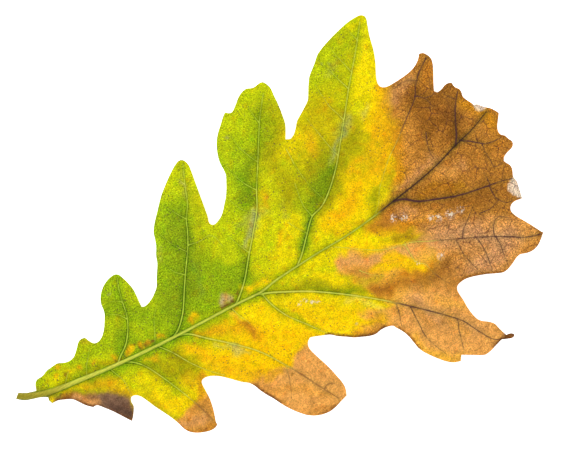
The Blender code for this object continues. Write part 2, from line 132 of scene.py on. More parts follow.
# Branches of the side veins, and lesser veins that leave the midrib.
BRANCHES = [
    [(16.6, -4.7), (18.2, -2.2), (20.6, 0.6)],
    [(11.0, -3.9), (12.4, -2.4), (14.4, -0.6)],
    [(34.2, -7.0), (35.6, -4.6), (37.4, -1.4), (39.8, 1.4)],
    [(31.9, 1.8), (31.0, 3.6), (28.8, 5.2)],
    [(33.0, 5.4), (32.6, 6.4), (30.6, 7.6)],
    [(56.2, 14.8), (54.6, 17.6), (53.2, 20.2)],
    [(52.4, 8.0), (50.2, 11.6), (49.2, 14.8)],
    [(49.2, 3.7), (47.4, 5.6), (46.2, 8.6)],
    [(53.4, 9.4), (56.0, 8.6), (58.8, 8.7), (60.0, 7.0), (60.2, 4.6)],
    [(60.2, 22.0), (59.0, 24.6)],
    [(64.8, 0.2), (63.4, 3.6), (62.6, 6.4)],
    [(71.2, 7.5), (68.5, 10.0), (67.3, 13.2)],
    [(73.9, 11.9), (71.95, 15.5), (70.8, 20.4)],
    [(77.6, 17.4), (76.0, 21.5), (75.4, 26.4)],
    [(82.7, 25.0), (82.4, 30.0)],
    [(84.9, 16.5), (84.7, 12.0), (85.2, 6.0), (86.4, 1.6)],
    [(81.9, -0.2), (81.4, 3.0), (82.4, 8.6)],
    [(78.8, -3.0), (77.0, 0.0), (76.2, 1.6)],
    [(94.4, 8.7), (93.6, 13.9), (92.9, 20.0)],
    [(100.1, 15.3), (99.0, 19.2), (98.7, 26.0)],
    [(104.9, 21.0), (103.3, 27.1), (102.3, 30.6)],
    [(107.6, 23.9), (106.8, 27.8), (106.3, 31.6)],
    [(112.7, 29.7), (112.2, 33.2)],
    [(117.4, 11.3), (119.0, 9.7), (119.7, 7.0)],
    [(119.0, 9.7), (121.0, 9.4)],
    [(119.6, 14.2), (117.6, 15.6), (114.0, 15.4)],
    [(125.2, 5.6), (124.0, 7.4), (123.4, 8.8)],
    [(115.0, 2.6), (113.5, -1.2), (113.4, -5.2)],
    [(125.0, -6.4), (124.6, -10.8), (124.8, -12.8), (126.8, -12.8)],
    [(121.2, -15.7), (121.3, -19.6), (122.8, -21.4), (126.2, -22.0)],
    [(121.6, -15.8), (121.8, -12.6)],
    [(109.4, -23.1), (110.3, -21.8), (113.0, -19.8), (115.4, -18.0)],
    [(116.0, -20.2), (119.0, -20.6), (121.4, -19.9)],
    [(116.0, -26.7), (117.4, -24.2), (119.2, -23.2), (121.9, -25.3)],
    [(116.2, -26.8), (116.3, -28.8), (115.3, -34.2)],
    [(107.9, -22.4), (107.7, -26.5), (108.5, -30.6), (109.3, -32.6)],
    [(112.3, -24.7), (112.5, -27.6), (111.6, -33.2)],
    [(97.0, -17.4), (97.2, -22.2), (98.8, -23.8), (99.3, -26.5), (101.2, -30.6)],
    [(84.8, -16.8), (86.4, -19.0), (88.8, -20.8)],
    [(90.4, -30.2), (90.1, -35.2), (90.1, -39.0), (91.9, -44.4)],
    [(98.45, -38.8), (97.4, -41.4), (96.0, -46.0)],
    [(88.1, -27.9), (87.5, -30.3), (86.3, -33.2)],
    [(95.8, -35.7), (98.6, -35.4)],
    [(54.3, -8.5), (55.0, -11.0), (56.2, -14.0)],
    [(58.3, -27.0), (56.6, -31.8), (55.2, -34.4)],
    [(62.9, -36.4), (64.6, -36.0), (66.8, -37.8)],
    [(22.2, -5.7), (23.6, -9.7), (23.4, -13.8)],
]
# Half width at the start and at the end.
BRANCH_WIDTH = (0.09, 0.04)
# Half width from which a side vein counts as a full one.
FULL_VEIN = 0.17

# ---- colours

COLOURS = {
    "deep green": (128, 150, 16),
    "dark green": (112, 136, 10),
    "blue green": (122, 148, 44),
    "green": (143, 170, 12),
    "fresh green": (158, 186, 12),
    "lime": (184, 196, 8),
    "olive": (165, 158, 6),
    "yellow green": (200, 204, 8),
    "yellow": (234, 214, 2),
    "lemon": (255, 222, 0),
    "golden": (254, 204, 0),
    "amber": (232, 172, 10),
    "orange": (216, 146, 22),
    "rust": (186, 118, 30),
    "pale orange": (246, 182, 60),
    "tan": (230, 160, 62),
    "light tan": (238, 168, 82),
    "brown": (188, 126, 46),
    "dark brown": (150, 96, 30),
    "deep brown": (110, 66, 28),
    "pink brown": (216, 156, 98),
    "grey brown": (132, 100, 74),
    "dark grey": (92, 66, 52),
    "grey green": (168, 170, 92),
    "pale grey": (196, 188, 130),
    "mustard": (200, 184, 6),
    "ochre": (178, 126, 18),
    "pale yellow": (248, 224, 92),
    "rose tan": (224, 160, 92),
    "grey pink": (196, 168, 112),
    "blue grey": (140, 150, 92),
    "pale vein": (222, 216, 84),
    "green vein": (190, 212, 58),
    "brown vein": (150, 96, 54),
    "stalk": (158, 146, 42),
    "purple vein": (74, 44, 50),
    "papery": (238, 218, 192),
}

# The ground colours, laid first over plain yellow: colour, how soft the edge is, and the closed region.
GROUNDS = [
    ("green", 7.0, [(-5, -8), (24, -9), (40, -12), (50, -8.5), (62, -9), (64, -2), (70, 8), (74, 12),
                    (88, 17), (84, 24), (88, 40), (40, 40), (-5, 12)]),
    ("lime", 5.0, [(58, 3), (61, 1), (64, 5), (67, 11), (68, 17), (67, 31), (51, 31), (52, 25),
                   (57.4, 19), (57.4, 11)]),
    ("lime", 8.0, [(70, 44), (72, 24), (84, 21), (90, 22), (106, 24), (118, 30), (120, 44)]),
    ("mustard", 6.0, [(73, 9), (79, 4), (85, 1), (92, 2), (98, 4), (103, 9), (106, 14), (102, 20),
                      (96, 22), (90, 21), (84, 22), (78, 18)]),
    ("golden", 9.0, [(46, -16), (60, -12), (74, -20), (88, -30), (70, -34), (48, -32), (40, -22)]),
    ("brown", 3.4, [(118, 24), (114.4, 18.8), (111.6, 16), (110.8, 12), (109.2, 7), (107.4, 3), (104, -2),
                    (99.4, -6.6), (94.5, -8.6), (95.5, -11), (98.5, -14), (102, -18), (104, -23),
                    (99, -27), (92, -28), (84, -56), (140, -56), (140, 24)]),
    ("pale orange", 1.8, [(101, -17.8), (96.5, -17.6), (92.5, -17), (88.5, -15), (85.2, -12.2), (82, -11),
                          (80.4, -11.8), (80.6, -14), (82, -17.5), (83.6, -21), (86, -24.4),
                          (88.4, -27.4), (85.6, -28.4), (82.6, -29.2), (78.4, -28.4), (75.6, -29),
                          (80, -34), (84, -56), (100, -56), (96, -32), (99, -27.5), (104.5, -25.5),
                          (106.5, -22), (104.5, -19)]),
]

# The washes, in the order they are laid: colour, how strong, how far it reaches, how soft its edge is, and
# the line or place it follows.
WASHES = [
    # the stalk, the ears and the strip beside the stalk
    ("stalk", 1.0, 1.6, 1.6, [(-1, 0.4), (3, -1.6), (6, -2.8)]),
    ("lime", 0.8, 2.0, 4.0, [(6, -1), (13, 0), (19, 2)]),
    ("yellow green", 0.8, 1.4, 3.0, [(7.6, -1.8), (14, -2.2), (20, -3.2), (24, -4.0)]),
    ("lemon", 1.0, 0.8, 1.2, [(6.2, -4.8), (7.4, -5.6), (9, -5.2)]),
    ("yellow", 0.6, 1.0, 2.4, [(8.4, -1.2), (12, -0.8), (15, -1.6)]),
    ("amber", 0.7, 0.4, 1.6, [(8, -2.6), (12, -3.2)]),
    ("amber", 0.7, 0.4, 1.4, [(16.6, -4.2), (20, -4.8)]),
    ("amber", 0.8, 0.6, 1.6, [(22.4, -4.2), (25.4, -4.8)]),
    ("golden", 0.8, 0.5, 1.8, [(8.6, -5.0), (12, -5.2), (15, -6.0)]),
    ("rust", 0.5, 0.3, 1.4, [(19.6, 3.6), (20.6, 1.6)]),
    ("lime", 0.8, 1.2, 3.5, [(21, 1), (25, 0), (28, 3)]),
    ("olive", 0.6, 0.8, 2.5, [(10, -3), (20, -4), (26, -4.5)]),
    ("amber", 0.8, 1.0, 3.0, [(15, -6.4), (19, -8), (22, -10)]),
    ("yellow green", 0.7, 1.0, 2.6, [(20, -2.4), (25, -3.4)]),
    ("rust", 0.5, 1.0, 3.0, [(20.4, -11.4), (23, -13.4)]),
    # first and second upper lobes
    ("fresh green", 0.9, 2.5, 4.0, [(31, 11), (34, 12)]),
    ("lime", 0.7, 1.2, 3.4, [(36, 9), (37, 4), (39, 1)]),
    ("olive", 0.5, 0.4, 2.0, [(29.4, 9), (31.4, 8.6)]),
    ("pale grey", 0.5, 0.3, 1.4, [(45.8, 9.2), (47.4, 12.0)]),
    ("blue green", 0.7, 0.6, 2.4, [(48.6, -1.4), (51.4, 2.6), (53, 6)]),
    ("deep green", 0.8, 2.6, 5.0, [(43, -1), (49, 4), (53, 10), (53, 15)]),
    ("deep green", 0.5, 1.2, 3.5, [(29, 0), (32, 5)]),
    ("lime", 0.9, 1.8, 4.0, [(57, 10), (60, 17), (63, 26)]),
    ("yellow green", 0.85, 1.0, 2.6, [(59, 5), (61.4, 12), (62, 19), (64, 28)]),
    ("fresh green", 0.8, 1.2, 3.0, [(44, 9), (48, 15), (53, 21)]),
    ("yellow green", 0.45, 1.6, 3.0, [(55, 22.6), (58.6, 26), (61.6, 28)]),
    ("olive", 0.35, 1.6, 3.4, [(56, 7), (58.6, 14), (60, 21)]),
    ("lime", 0.6, 1.4, 3.0, [(30, 3), (33, -1.0), (36, -3.4)]),
    ("mustard", 0.6, 0.8, 2.6, [(59, 6), (61, 11), (60.6, 17)]),
    ("yellow green", 0.85, 1.0, 2.6, [(60.2, 8), (62.4, 14), (63.4, 20), (64, 28)]),
    # painted sheen: a grey streak along the vein's end
    ("grey green", 0.55, 0.3, 1.6, [(57.5, 18), (59.5, 21), (61.6, 25)]),
    ("grey pink", 0.45, 0.2, 1.2, [(59.6, 21.4), (61.8, 25.4)]),
    ("lime", 0.8, 0.8, 2.4, [(60.6, 24), (62.6, 28.4)]),
    # between the second and third upper lobes
    ("lime", 0.8, 2.4, 4.5, [(60, 8), (66, 9)]),
    ("deep green", 0.7, 1.0, 3.0, [(56, -6), (60, -3.5), (63, -0.5)]),
    ("yellow green", 0.7, 1.2, 3.0, [(60, 1), (64, 3.5), (63.4, 8)]),
    ("lime", 0.7, 1.2, 3.0, [(36.6, 4.4), (39.6, 9.4)]),
    ("pale grey", 0.75, 0.9, 2.4, [(65.4, 1.4), (68.2, 4), (70.6, 7.4)]),
    # painted shade: a blue-grey band beside the third upper vein
    ("blue grey", 0.5, 0.4, 1.8, [(66.4, 2.6), (69.6, 6.2), (72.4, 9.4)]),
    # third upper lobe
    ("green", 0.8, 1.8, 4.5, [(71, 12), (75, 16), (80, 22), (84, 27)]),
    ("olive", 0.6, 3.0, 5.0, [(79, 16), (83, 21), (86, 26)]),
    ("green", 0.5, 2.0, 4.0, [(79, 19), (84, 25)]),
    ("dark green", 0.75, 1.2, 3.4, [(70.5, 10.5), (73, 13), (76.5, 17.5)]),
    ("lime", 0.8, 1.4, 4.0, [(68, 14), (71, 22), (75, 29)]),
    ("yellow green", 0.7, 1.0, 3.5, [(87.6, 22), (88.6, 28), (88, 32.5)]),
    ("yellow", 0.8, 1.6, 4.0, [(84, 16), (88, 19)]),
    # the yellow and the bright green band between the third and fourth side veins
    ("yellow green", 0.85, 3.0, 5.0, [(67, -3), (72, 1), (76, 6), (79, 13)]),
    ("lemon", 0.55, 0.8, 3.0, [(70, -4), (73.6, 0), (76.6, 3)]),
    ("amber", 0.6, 0.5, 1.8, [(71.6, -1.6), (73.6, 0.4)]),
    ("amber", 0.7, 0.5, 1.8, [(74.6, 8.6), (75.6, 10.6)]),
    ("grey green", 0.5, 0.7, 2.6, [(66, 6.6), (70, 7.6), (74, 7.4)]),
    ("grey green", 0.5, 0.4, 2.0, [(76, 4), (79, 7.4)]),
    ("olive", 0.6, 2.2, 4.0, [(80, 6), (81, 11), (81, 17)]),
    ("olive", 0.5, 1.8, 4.0, [(84, 8), (91, 9.4), (92, 13)]),
    ("yellow green", 0.7, 1.0, 3.2, [(83, 14), (84.4, 8)]),
    ("green", 0.95, 1.7, 3.0, [(75, -6), (79, -2), (84, 1.8), (92, 7.4)]),
    ("olive", 0.6, 3.0, 5.0, [(84, 5), (87, 8), (90, 10)]),
    ("deep green", 0.5, 2.2, 5.0, [(82, 3.0), (87, 5.2), (92, 9)]),
    ("dark green", 0.8, 1.2, 3.0, [(85.4, 2.0), (88, 3.2), (91.5, 6)]),
    ("olive", 0.4, 1.6, 3.6, [(90, 1), (95, 5), (99, 9)]),
    ("olive", 0.8, 1.0, 2.6, [(86, -0.6), (91, 2.6), (96, 7)]),
    # painted shade: a blue-green band beside the fourth upper vein
    ("blue green", 0.6, 0.5, 1.8, [(74.6, -6), (78, -3), (80.6, 0)]),
    ("lime", 0.6, 1.4, 3.0, [(80.6, 3.4), (84, 5.4)]),
    ("lime", 0.5, 2.0, 4.0, [(75, 20), (79, 24)]),
    ("olive", 0.5, 1.6, 4.0, [(86, 20), (88.4, 25)]),
    ("olive", 0.45, 1.0, 3.0, [(79, -4), (84, -1.6)]),
    # fourth upper lobe and the yellow below it
    ("yellow", 0.8, 1.6, 4.0, [(87, 18.4), (90, 16)]),
    ("amber", 0.75, 1.0, 3.2, [(89.6, 14), (91.6, 16.6)]),
    ("mustard", 0.8, 1.6, 4.0, [(95, 16), (97, 22)]),
    ("amber", 0.5, 0.6, 2.6, [(100, 22), (98, 19)]),
    ("grey green", 0.8, 0.9, 2.6, [(93.5, 8.4), (97, 12), (101, 16)]),
    # painted shade: a blue-grey band beside the fourth upper vein
    ("blue grey", 0.5, 0.2, 1.2, [(94, 9), (98, 13)]),
    ("yellow green", 0.8, 1.6, 4.0, [(102, 20), (108, 25), (113, 28)]),
    ("yellow", 0.9, 1.2, 3.6, [(102, 12), (105, 16.4), (110, 21.6)]),
    ("lemon", 0.7, 0.8, 2.8, [(110, 20), (113.6, 27), (115.6, 31.4)]),
    ("lime", 0.6, 0.8, 2.8, [(103, 16), (105.4, 18)]),
    ("pale grey", 0.5, 0.6, 2.4, [(104, 13.4), (106.6, 15.4)]),
    ("grey green", 0.5, 0.5, 2.0, [(101.5, 27.5), (105.5, 29)]),
    ("yellow", 0.9, 0.6, 2.4, [(112, 33.5), (116.5, 34)]),
    ("golden", 0.9, 1.2, 3.2, [(104, 10.6), (108, 12.4), (109.6, 16)]),
    ("orange", 0.8, 0.8, 2.6, [(109.6, 10.6), (111.4, 17)]),
    ("amber", 0.8, 0.8, 2.6, [(103, 8.4), (106, 9.6), (109, 12.4)]),
    ("olive", 0.3, 3.5, 5.0, [(99, 20), (104, 25), (110, 29)]),
    # the yellow that runs up to the brown
    ("yellow", 0.8, 1.0, 3.0, [(95, 4.4), (98, 5)]),
    ("olive", 0.85, 1.0, 3.0, [(94, 5), (98, 9), (101, 12.4)]),
    ("golden", 0.95, 2.6, 4.5, [(86, -4.4), (92, -2.4), (97, 1)]),
    ("amber", 0.7, 1.0, 3.0, [(87, -3.4), (90, -2.5), (94, -1)]),
    ("amber", 0.75, 1.0, 3.0, [(96, 3.4), (101, 6), (105, 9)]),
    ("amber", 0.9, 1.6, 3.4, [(100, 1.6), (104, 5), (108, 9)]),
    ("orange", 0.9, 2.0, 3.6, [(102.4, -2), (106.4, 2.0), (109, 6.4)]),
    ("golden", 0.7, 0.7, 2.2, [(102, 0.6), (105.4, 4.4)]),
    ("mustard", 0.9, 0.8, 2.2, [(95.6, -7.2), (98.4, -4), (102, -0.4)]),
    ("olive", 0.85, 0.5, 1.8, [(95.5, -6.6), (98, -3.0)]),
    ("mustard", 0.5, 1.2, 3.0, [(96, 1), (99, 4)]),
    # either side of the midrib
    ("green", 0.4, 0.8, 2.4, [(14, -3.2), (20, -4.2)]),
    ("green", 0.5, 0.8, 2.4, [(58, -6.2), (65, -6.2)]),
    ("lime", 0.8, 1.2, 3.0, [(27, -8.6), (38, -9.6), (46, -9)]),
    ("green", 0.6, 0.4, 1.8, [(25, -6.9), (40, -8.2), (50, -9.0), (60, -9.8)]),
    ("green", 0.6, 0.6, 2.2, [(62, -9.8), (72, -9.4)]),
    ("olive", 0.5, 0.4, 2.0, [(64, -7.4), (70, -7.2)]),
    ("golden", 0.7, 0.5, 1.8, [(59, -7.0), (61, -7.3), (64, -7.6)]),
    ("grey pink", 0.85, 0.9, 1.2, [(52.6, -6.3), (54.4, -5.9), (55.6, -6.9)]),
    ("dark grey", 0.85, 0.12, 0.6, [(52.2, -7.3), (53.6, -7.65), (55.8, -7.6)]),
    ("lime", 0.6, 0.6, 2.4, [(66, -7.6), (76, -7.4), (84, -7.6)]),
    ("amber", 0.6, 0.4, 1.6, [(85, -7.4), (92, -7.2)]),
    # first lower lobe and the bay beside it
    ("olive", 0.95, 2.0, 4.5, [(32, -11), (34, -14), (37.5, -16), (38, -12)]),
    ("amber", 0.8, 0.7, 2.0, [(30.4, -8.2), (33.4, -9.8)]),
    ("golden", 0.9, 1.4, 3.0, [(40, -11.6), (43, -14), (44, -17)]),
    ("amber", 0.85, 0.6, 1.8, [(43.6, -9.2), (47.6, -10.6)]),
    ("amber", 0.6, 0.6, 2.0, [(40.4, -11.8), (43, -13.4)]),
    ("green", 0.6, 0.5, 2.0, [(30.5, -9), (33, -14), (34.2, -19)]),
    ("amber", 0.6, 0.8, 2.4, [(36.5, -17.5), (38, -21)]),
    ("golden", 0.6, 1.2, 3.0, [(29, -20.6), (31, -21.4), (34, -22)]),
    ("mustard", 0.9, 1.2, 2.8, [(26, -18), (27.4, -22.6)]),
    ("golden", 0.6, 1.2, 3.0, [(27, -15), (29, -19)]),
    ("yellow green", 0.7, 0.8, 2.6, [(25, -12), (27.5, -15)]),
    ("mustard", 0.65, 1.8, 3.0, [(25.4, -15.6), (27.2, -21), (28, -23.6)]),
    # second lower lobe
    ("amber", 0.45, 1.6, 3.0, [(42, -15), (46, -21), (48.6, -24)]),
    ("golden", 0.5, 1.0, 3.0, [(43, -14), (45, -18)]),
    ("amber", 0.9, 1.2, 3.2, [(48.6, -10.4), (52, -13), (55, -15), (57, -18)]),
    ("rust", 0.85, 0.6, 2.0, [(54.0, -12.6), (55.4, -15), (55.8, -18)]),
    ("pale orange", 0.8, 0.4, 1.6, [(53.4, -9.6), (54.4, -12.0)]),
    ("pale grey", 0.6, 0.3, 1.4, [(46, -13), (49.5, -16.4), (52.8, -19.6)]),
    ("pale grey", 0.6, 0.7, 1.8, [(49.2, -16.4), (50.4, -18.6)]),
    ("lemon", 0.7, 1.4, 3.6, [(58, -12.5), (62, -17), (66, -21)]),
    ("lemon", 0.7, 1.0, 3.0, [(72, -22), (76, -25), (80, -26.5)]),
    ("yellow green", 0.8, 0.6, 2.4, [(62.6, -12), (65, -18), (69.6, -24)]),
    ("olive", 0.5, 0.4, 1.8, [(62.8, -14), (66, -20), (69.6, -24.6)]),
    ("lemon", 0.85, 1.0, 2.4, [(68.6, -24.6), (72.6, -26.6), (76, -27.6)]),
    # beside the ninth side vein
    ("olive", 0.9, 1.0, 3.0, [(66, -11), (72, -13.6), (77, -16.8), (83, -21.5)]),
    ("dark green", 0.6, 0.4, 1.6, [(73, -15.2), (77, -17.8), (81, -21)]),
    ("yellow green", 0.6, 0.5, 2.0, [(70, -11.5), (78, -12), (82, -14.5)]),
    ("lemon", 0.7, 0.8, 2.6, [(76, -14), (79.5, -16.5)]),
    # the tan patch between the lower side veins, and the yellow round it
    ("golden", 0.9, 1.0, 3.0, [(85, -10.6), (90, -13.6), (94.6, -15.6)]),
    ("lemon", 0.9, 1.4, 3.2, [(86, -9.8), (91, -12.0), (95.4, -14.6)]),
    ("yellow", 0.8, 0.8, 2.6, [(79.6, -10.4), (83, -9.9), (89, -9.6)]),
    ("olive", 0.7, 0.5, 2.2, [(94, -13.6), (98.4, -15.6)]),
    ("orange", 0.85, 1.0, 3.0, [(92, -8.8), (95, -10.4), (98.4, -13.4)]),
    ("rust", 0.7, 0.8, 2.6, [(93.6, -8.6), (98, -9.6)]),
    ("light tan", 0.95, 2.0, 2.4, [(82.4, -13.4), (86, -14.6), (91, -17.4), (96, -18.6)]),
    ("rose tan", 0.5, 1.4, 3.0, [(82.4, -12.4), (88, -15.6), (96, -18.4)]),
    ("tan", 0.8, 1.2, 2.4, [(85, -16.4), (88.6, -18.6), (91, -19.4)]),
    ("brown", 0.75, 0.7, 2.4, [(83.6, -16.4), (86.6, -18.8)]),
    ("olive", 0.5, 0.6, 2.0, [(81, -16), (84, -18.8)]),
    ("olive", 0.6, 0.5, 2.0, [(84.6, -20.2), (88, -20.6)]),
    ("rust", 0.9, 1.0, 2.6, [(85.4, -22.2), (88.6, -24.2), (93, -25.8)]),
    ("deep brown", 0.5, 0.4, 1.4, [(86.6, -22.6), (88.2, -23.6)]),
    ("golden", 0.95, 0.9, 2.0, [(88.6, -18.4), (92.6, -21.2), (97, -24.2)]),
    ("lemon", 0.7, 0.4, 1.8, [(94, -19), (97, -21.6)]),
    ("orange", 0.9, 0.6, 2.0, [(92.4, -23.6), (96.6, -25.2), (102, -25)]),
    ("rust", 0.7, 0.3, 1.4, [(94.6, -25.6), (99, -25.8)]),
    ("light tan", 0.95, 1.6, 3.0, [(98, -19), (102.4, -21.4), (105, -24)]),
    ("pale orange", 0.6, 0.5, 2.0, [(100, -20.6), (102.6, -23)]),
    ("orange", 0.8, 1.0, 2.8, [(99, -12), (103, -13.4), (106, -15)]),
    ("pale orange", 0.6, 0.5, 1.8, [(100, -15.6), (104, -17.4)]),
    ("light tan", 0.9, 0.8, 2.4, [(80.4, -26.6), (84, -27), (87, -28.4)]),
    ("pale yellow", 0.7, 0.6, 1.8, [(78.4, -20.9), (81, -23), (84.4, -25.8)]),
    ("brown", 0.5, 0.4, 1.6, [(81.6, -27.6), (84.6, -28.4)]),
    ("rust", 0.45, 1.4, 3.4, [(86, -22.6), (90, -23.6), (94, -23.6)]),
    ("golden", 0.9, 1.0, 2.0, [(91.6, -17.6), (94, -20), (96.6, -23.2)]),
    ("ochre", 0.7, 0.8, 2.6, [(95.4, -14.2), (99.4, -16.2)]),
    ("grey brown", 0.45, 0.4, 2.0, [(99, -17.4), (103, -19.2)]),
    # brown end above the midrib
    ("tan", 0.6, 1.6, 4.0, [(107, -2), (111, 3), (112.5, 8)]),
    ("pink brown", 0.6, 1.6, 4.0, [(112.5, 13), (118, 15.4)]),
    ("dark brown", 0.9, 2.4, 5.0, [(117, 11), (117, 3), (122, 4), (120, -1)]),
    ("dark brown", 0.8, 1.6, 4.0, [(119, 12), (122, 8), (125, 9)]),
    ("deep brown", 0.45, 1.0, 4.0, [(121, 7), (122.5, 2)]),
    ("rust", 0.8, 1.0, 3.0, [(122, 12.5), (123.6, 15)]),
    ("orange", 0.8, 1.2, 3.4, [(127, 5), (129, 0), (130, -4)]),
    ("rust", 0.7, 1.0, 3.0, [(125.6, -8.6), (129, -8)]),
    ("deep brown", 0.5, 0.5, 2.0, [(123, 4), (125.4, 6.4)]),
    # brown end below the midrib
    ("pink brown", 0.6, 1.0, 3.0, [(102, -4.6), (108, -4.2), (113, -3.4)]),
    ("pink brown", 0.7, 0.8, 2.6, [(100.6, -9.4), (102.6, -11)]),
    ("ochre", 0.75, 0.9, 2.6, [(106.6, -9), (111, -10.6), (115.6, -12)]),
    ("pink brown", 0.6, 1.2, 3.4, [(113, -7), (119, -9)]),
    ("dark brown", 0.5, 1.2, 4.0, [(102.5, -8), (107, -9)]),
    ("rust", 0.8, 0.6, 2.2, [(107, -9.8), (112, -10.4)]),
    ("tan", 0.5, 1.4, 3.6, [(112, -7), (116, -8.4)]),
    ("dark brown", 0.7, 2.0, 5.0, [(111, -13), (117, -17), (123, -17)]),
    ("brown", 0.7, 2.0, 5.0, [(122, -6), (127, -12), (125, -17)]),
    ("pink brown", 0.5, 1.6, 4.0, [(104, -17), (109, -17.5)]),
    ("light tan", 0.8, 3.5, 6.0, [(104, -30), (116, -31), (124, -28.6)]),
    ("pink brown", 0.95, 3.0, 5.0, [(106, -21), (113, -24), (118, -28), (109, -31)]),
    ("rose tan", 0.5, 1.0, 3.0, [(104, -21), (108, -24), (110, -28)]),
    ("light tan", 0.7, 1.2, 3.0, [(117, -24), (121, -27), (124.4, -30.4)]),
    ("dark brown", 0.7, 1.6, 3.4, [(94, -26.8), (98, -27.2), (104, -27.8)]),
    ("brown", 0.6, 1.2, 3.4, [(103, -32), (109, -33)]),
    ("light tan", 0.65, 1.0, 2.6, [(101, -11.8), (105, -13.8)]),
    ("brown", 0.5, 1.6, 3.6, [(100, -28), (103, -31), (104, -34)]),
    # the eleventh side vein's lobe
    ("light tan", 1.0, 6.0, 7.0, [(88, -34), (95, -42), (101, -46)]),
    ("pink brown", 0.5, 2.4, 5.0, [(92, -29), (97, -34), (101, -42)]),
    ("brown", 0.7, 1.2, 3.0, [(81, -29.6), (83.6, -32.4), (84.6, -36)]),
    ("pink brown", 0.75, 1.0, 3.6, [(92, -30.5), (93.5, -35)]),
    ("brown", 0.6, 0.8, 3.0, [(90.6, -31.4), (92.6, -35.6)]),
    ("grey brown", 0.4, 0.4, 2.0, [(94.4, -36), (96.6, -38.8)]),
    ("amber", 0.4, 0.8, 2.4, [(88, -38), (89, -42), (91.6, -45.6)]),
    ("tan", 0.7, 1.0, 3.4, [(96.5, -37), (99, -42)]),
    ("light tan", 1.0, 2.4, 4.0, [(97, -31), (100, -34), (103, -39)]),
    ("pale orange", 0.5, 1.0, 3.0, [(97.6, -32), (100.6, -37)]),
    ("pale orange", 0.8, 1.0, 3.0, [(87.6, -37.5), (90, -43), (94, -47)]),
    ("tan", 0.9, 0.8, 2.4, [(86.6, -27.8), (88, -30)]),
    ("rust", 0.85, 0.5, 1.8, [(75.6, -29), (79, -30.4), (83.4, -30.8)]),
    ("dark grey", 0.85, 0.6, 1.2, [(106.6, -48.6), (107.8, -49)]),
    ("grey brown", 0.7, 0.4, 1.2, [(104.8, -48.2), (106, -48.4)]),
]

# Dry ends with a sharp border, laid over the washes: colour, how soft the border is, and the region.
DRY_ENDS = [
    ("tan", 1.4, [(26, -24.8), (30.6, -24.4), (34.6, -23.2), (37.5, -23.2), (40.6, -22.2), (41, -33),
                  (28, -33)]),
    ("light tan", 1.3, [(46, -25.6), (52, -26.3), (55, -26.3), (57.5, -27), (59.5, -27.9), (60.8, -26.4),
                        (63, -25.8), (68, -25.2), (71, -44), (46, -44)]),
    ("grey brown", 1.8, [(7.4, -5.2), (13, -7.4), (17.5, -9.4), (21, -11.8), (23.0, -14.4), (20, -22),
                         (6, -9)]),
]

# Washes over the dry ends.
DRY_WASHES = [
    ("rust", 0.7, 0.5, 1.8, [(30.6, -26), (34, -26.6)]),
    ("orange", 0.85, 0.8, 2.0, [(37.0, -22.6), (38.6, -20), (39.4, -18.4)]),
    ("pink brown", 0.7, 1.2, 3.0, [(29, -25.6), (33, -26.4), (36, -27.5)]),
    ("rust", 0.6, 0.8, 2.4, [(30, -30), (35, -31.6), (38, -30.6)]),
    ("brown", 0.7, 0.8, 2.0, [(34.4, -24.6), (37, -25.4)]),
    ("brown", 0.5, 1.2, 3.0, [(50.6, -26), (52.6, -30)]),
    ("brown", 0.45, 1.5, 3.0, [(57, -41), (63, -43)]),
    ("rust", 0.6, 0.5, 1.8, [(33, -29.6), (36, -29.8)]),
    ("brown", 0.5, 0.4, 1.4, [(36.6, -24.6), (36.8, -28)]),
    ("light tan", 0.8, 1.2, 3.0, [(55, -28.6), (60, -30), (65, -27)]),
    ("amber", 0.7, 0.5, 1.6, [(53, -26.6), (57, -27.6)]),
    ("brown", 0.85, 0.5, 1.8, [(49.4, -27), (51.4, -31.6), (53, -34.6)]),
    ("tan", 0.7, 1.0, 3.0, [(54, -31), (60, -34), (62, -38)]),
    ("rust", 0.9, 0.8, 2.4, [(9.4, -5.9), (13.4, -8.4), (15.4, -10.4)]),
    ("rose tan", 0.85, 1.2, 2.0, [(11.0, -7.4), (13.6, -9.4), (15.4, -10.8)]),
    ("light tan", 0.6, 0.2, 1.0, [(12.4, -9.8), (14.4, -11.2)]),
    ("dark brown", 0.8, 0.3, 1.2, [(8.6, -5.6), (11, -6.6)]),
    ("dark grey", 0.8, 1.2, 2.6, [(18.4, -13.4), (20, -17.4)]),
    ("brown", 0.6, 0.3, 1.4, [(20.6, -18.6), (22.6, -15.8)]),
]

# The thin papery tissue in the bays beside the apex.
PAPERY = [
    [(128.0, 2.8), (128.05, 1.2), (128.6, 0.3), (129.3, 0.0), (130.5, 0.1), (130.6, 1.2), (129.4, 2.4)],
    [(127.6, -16.9), (126.0, -17.5), (124.9, -18.2), (124.5, -19.0), (124.7, -19.9), (125.5, -21.3),
     (126.4, -22.6), (127.4, -22.0), (128.0, -19.0)],
]

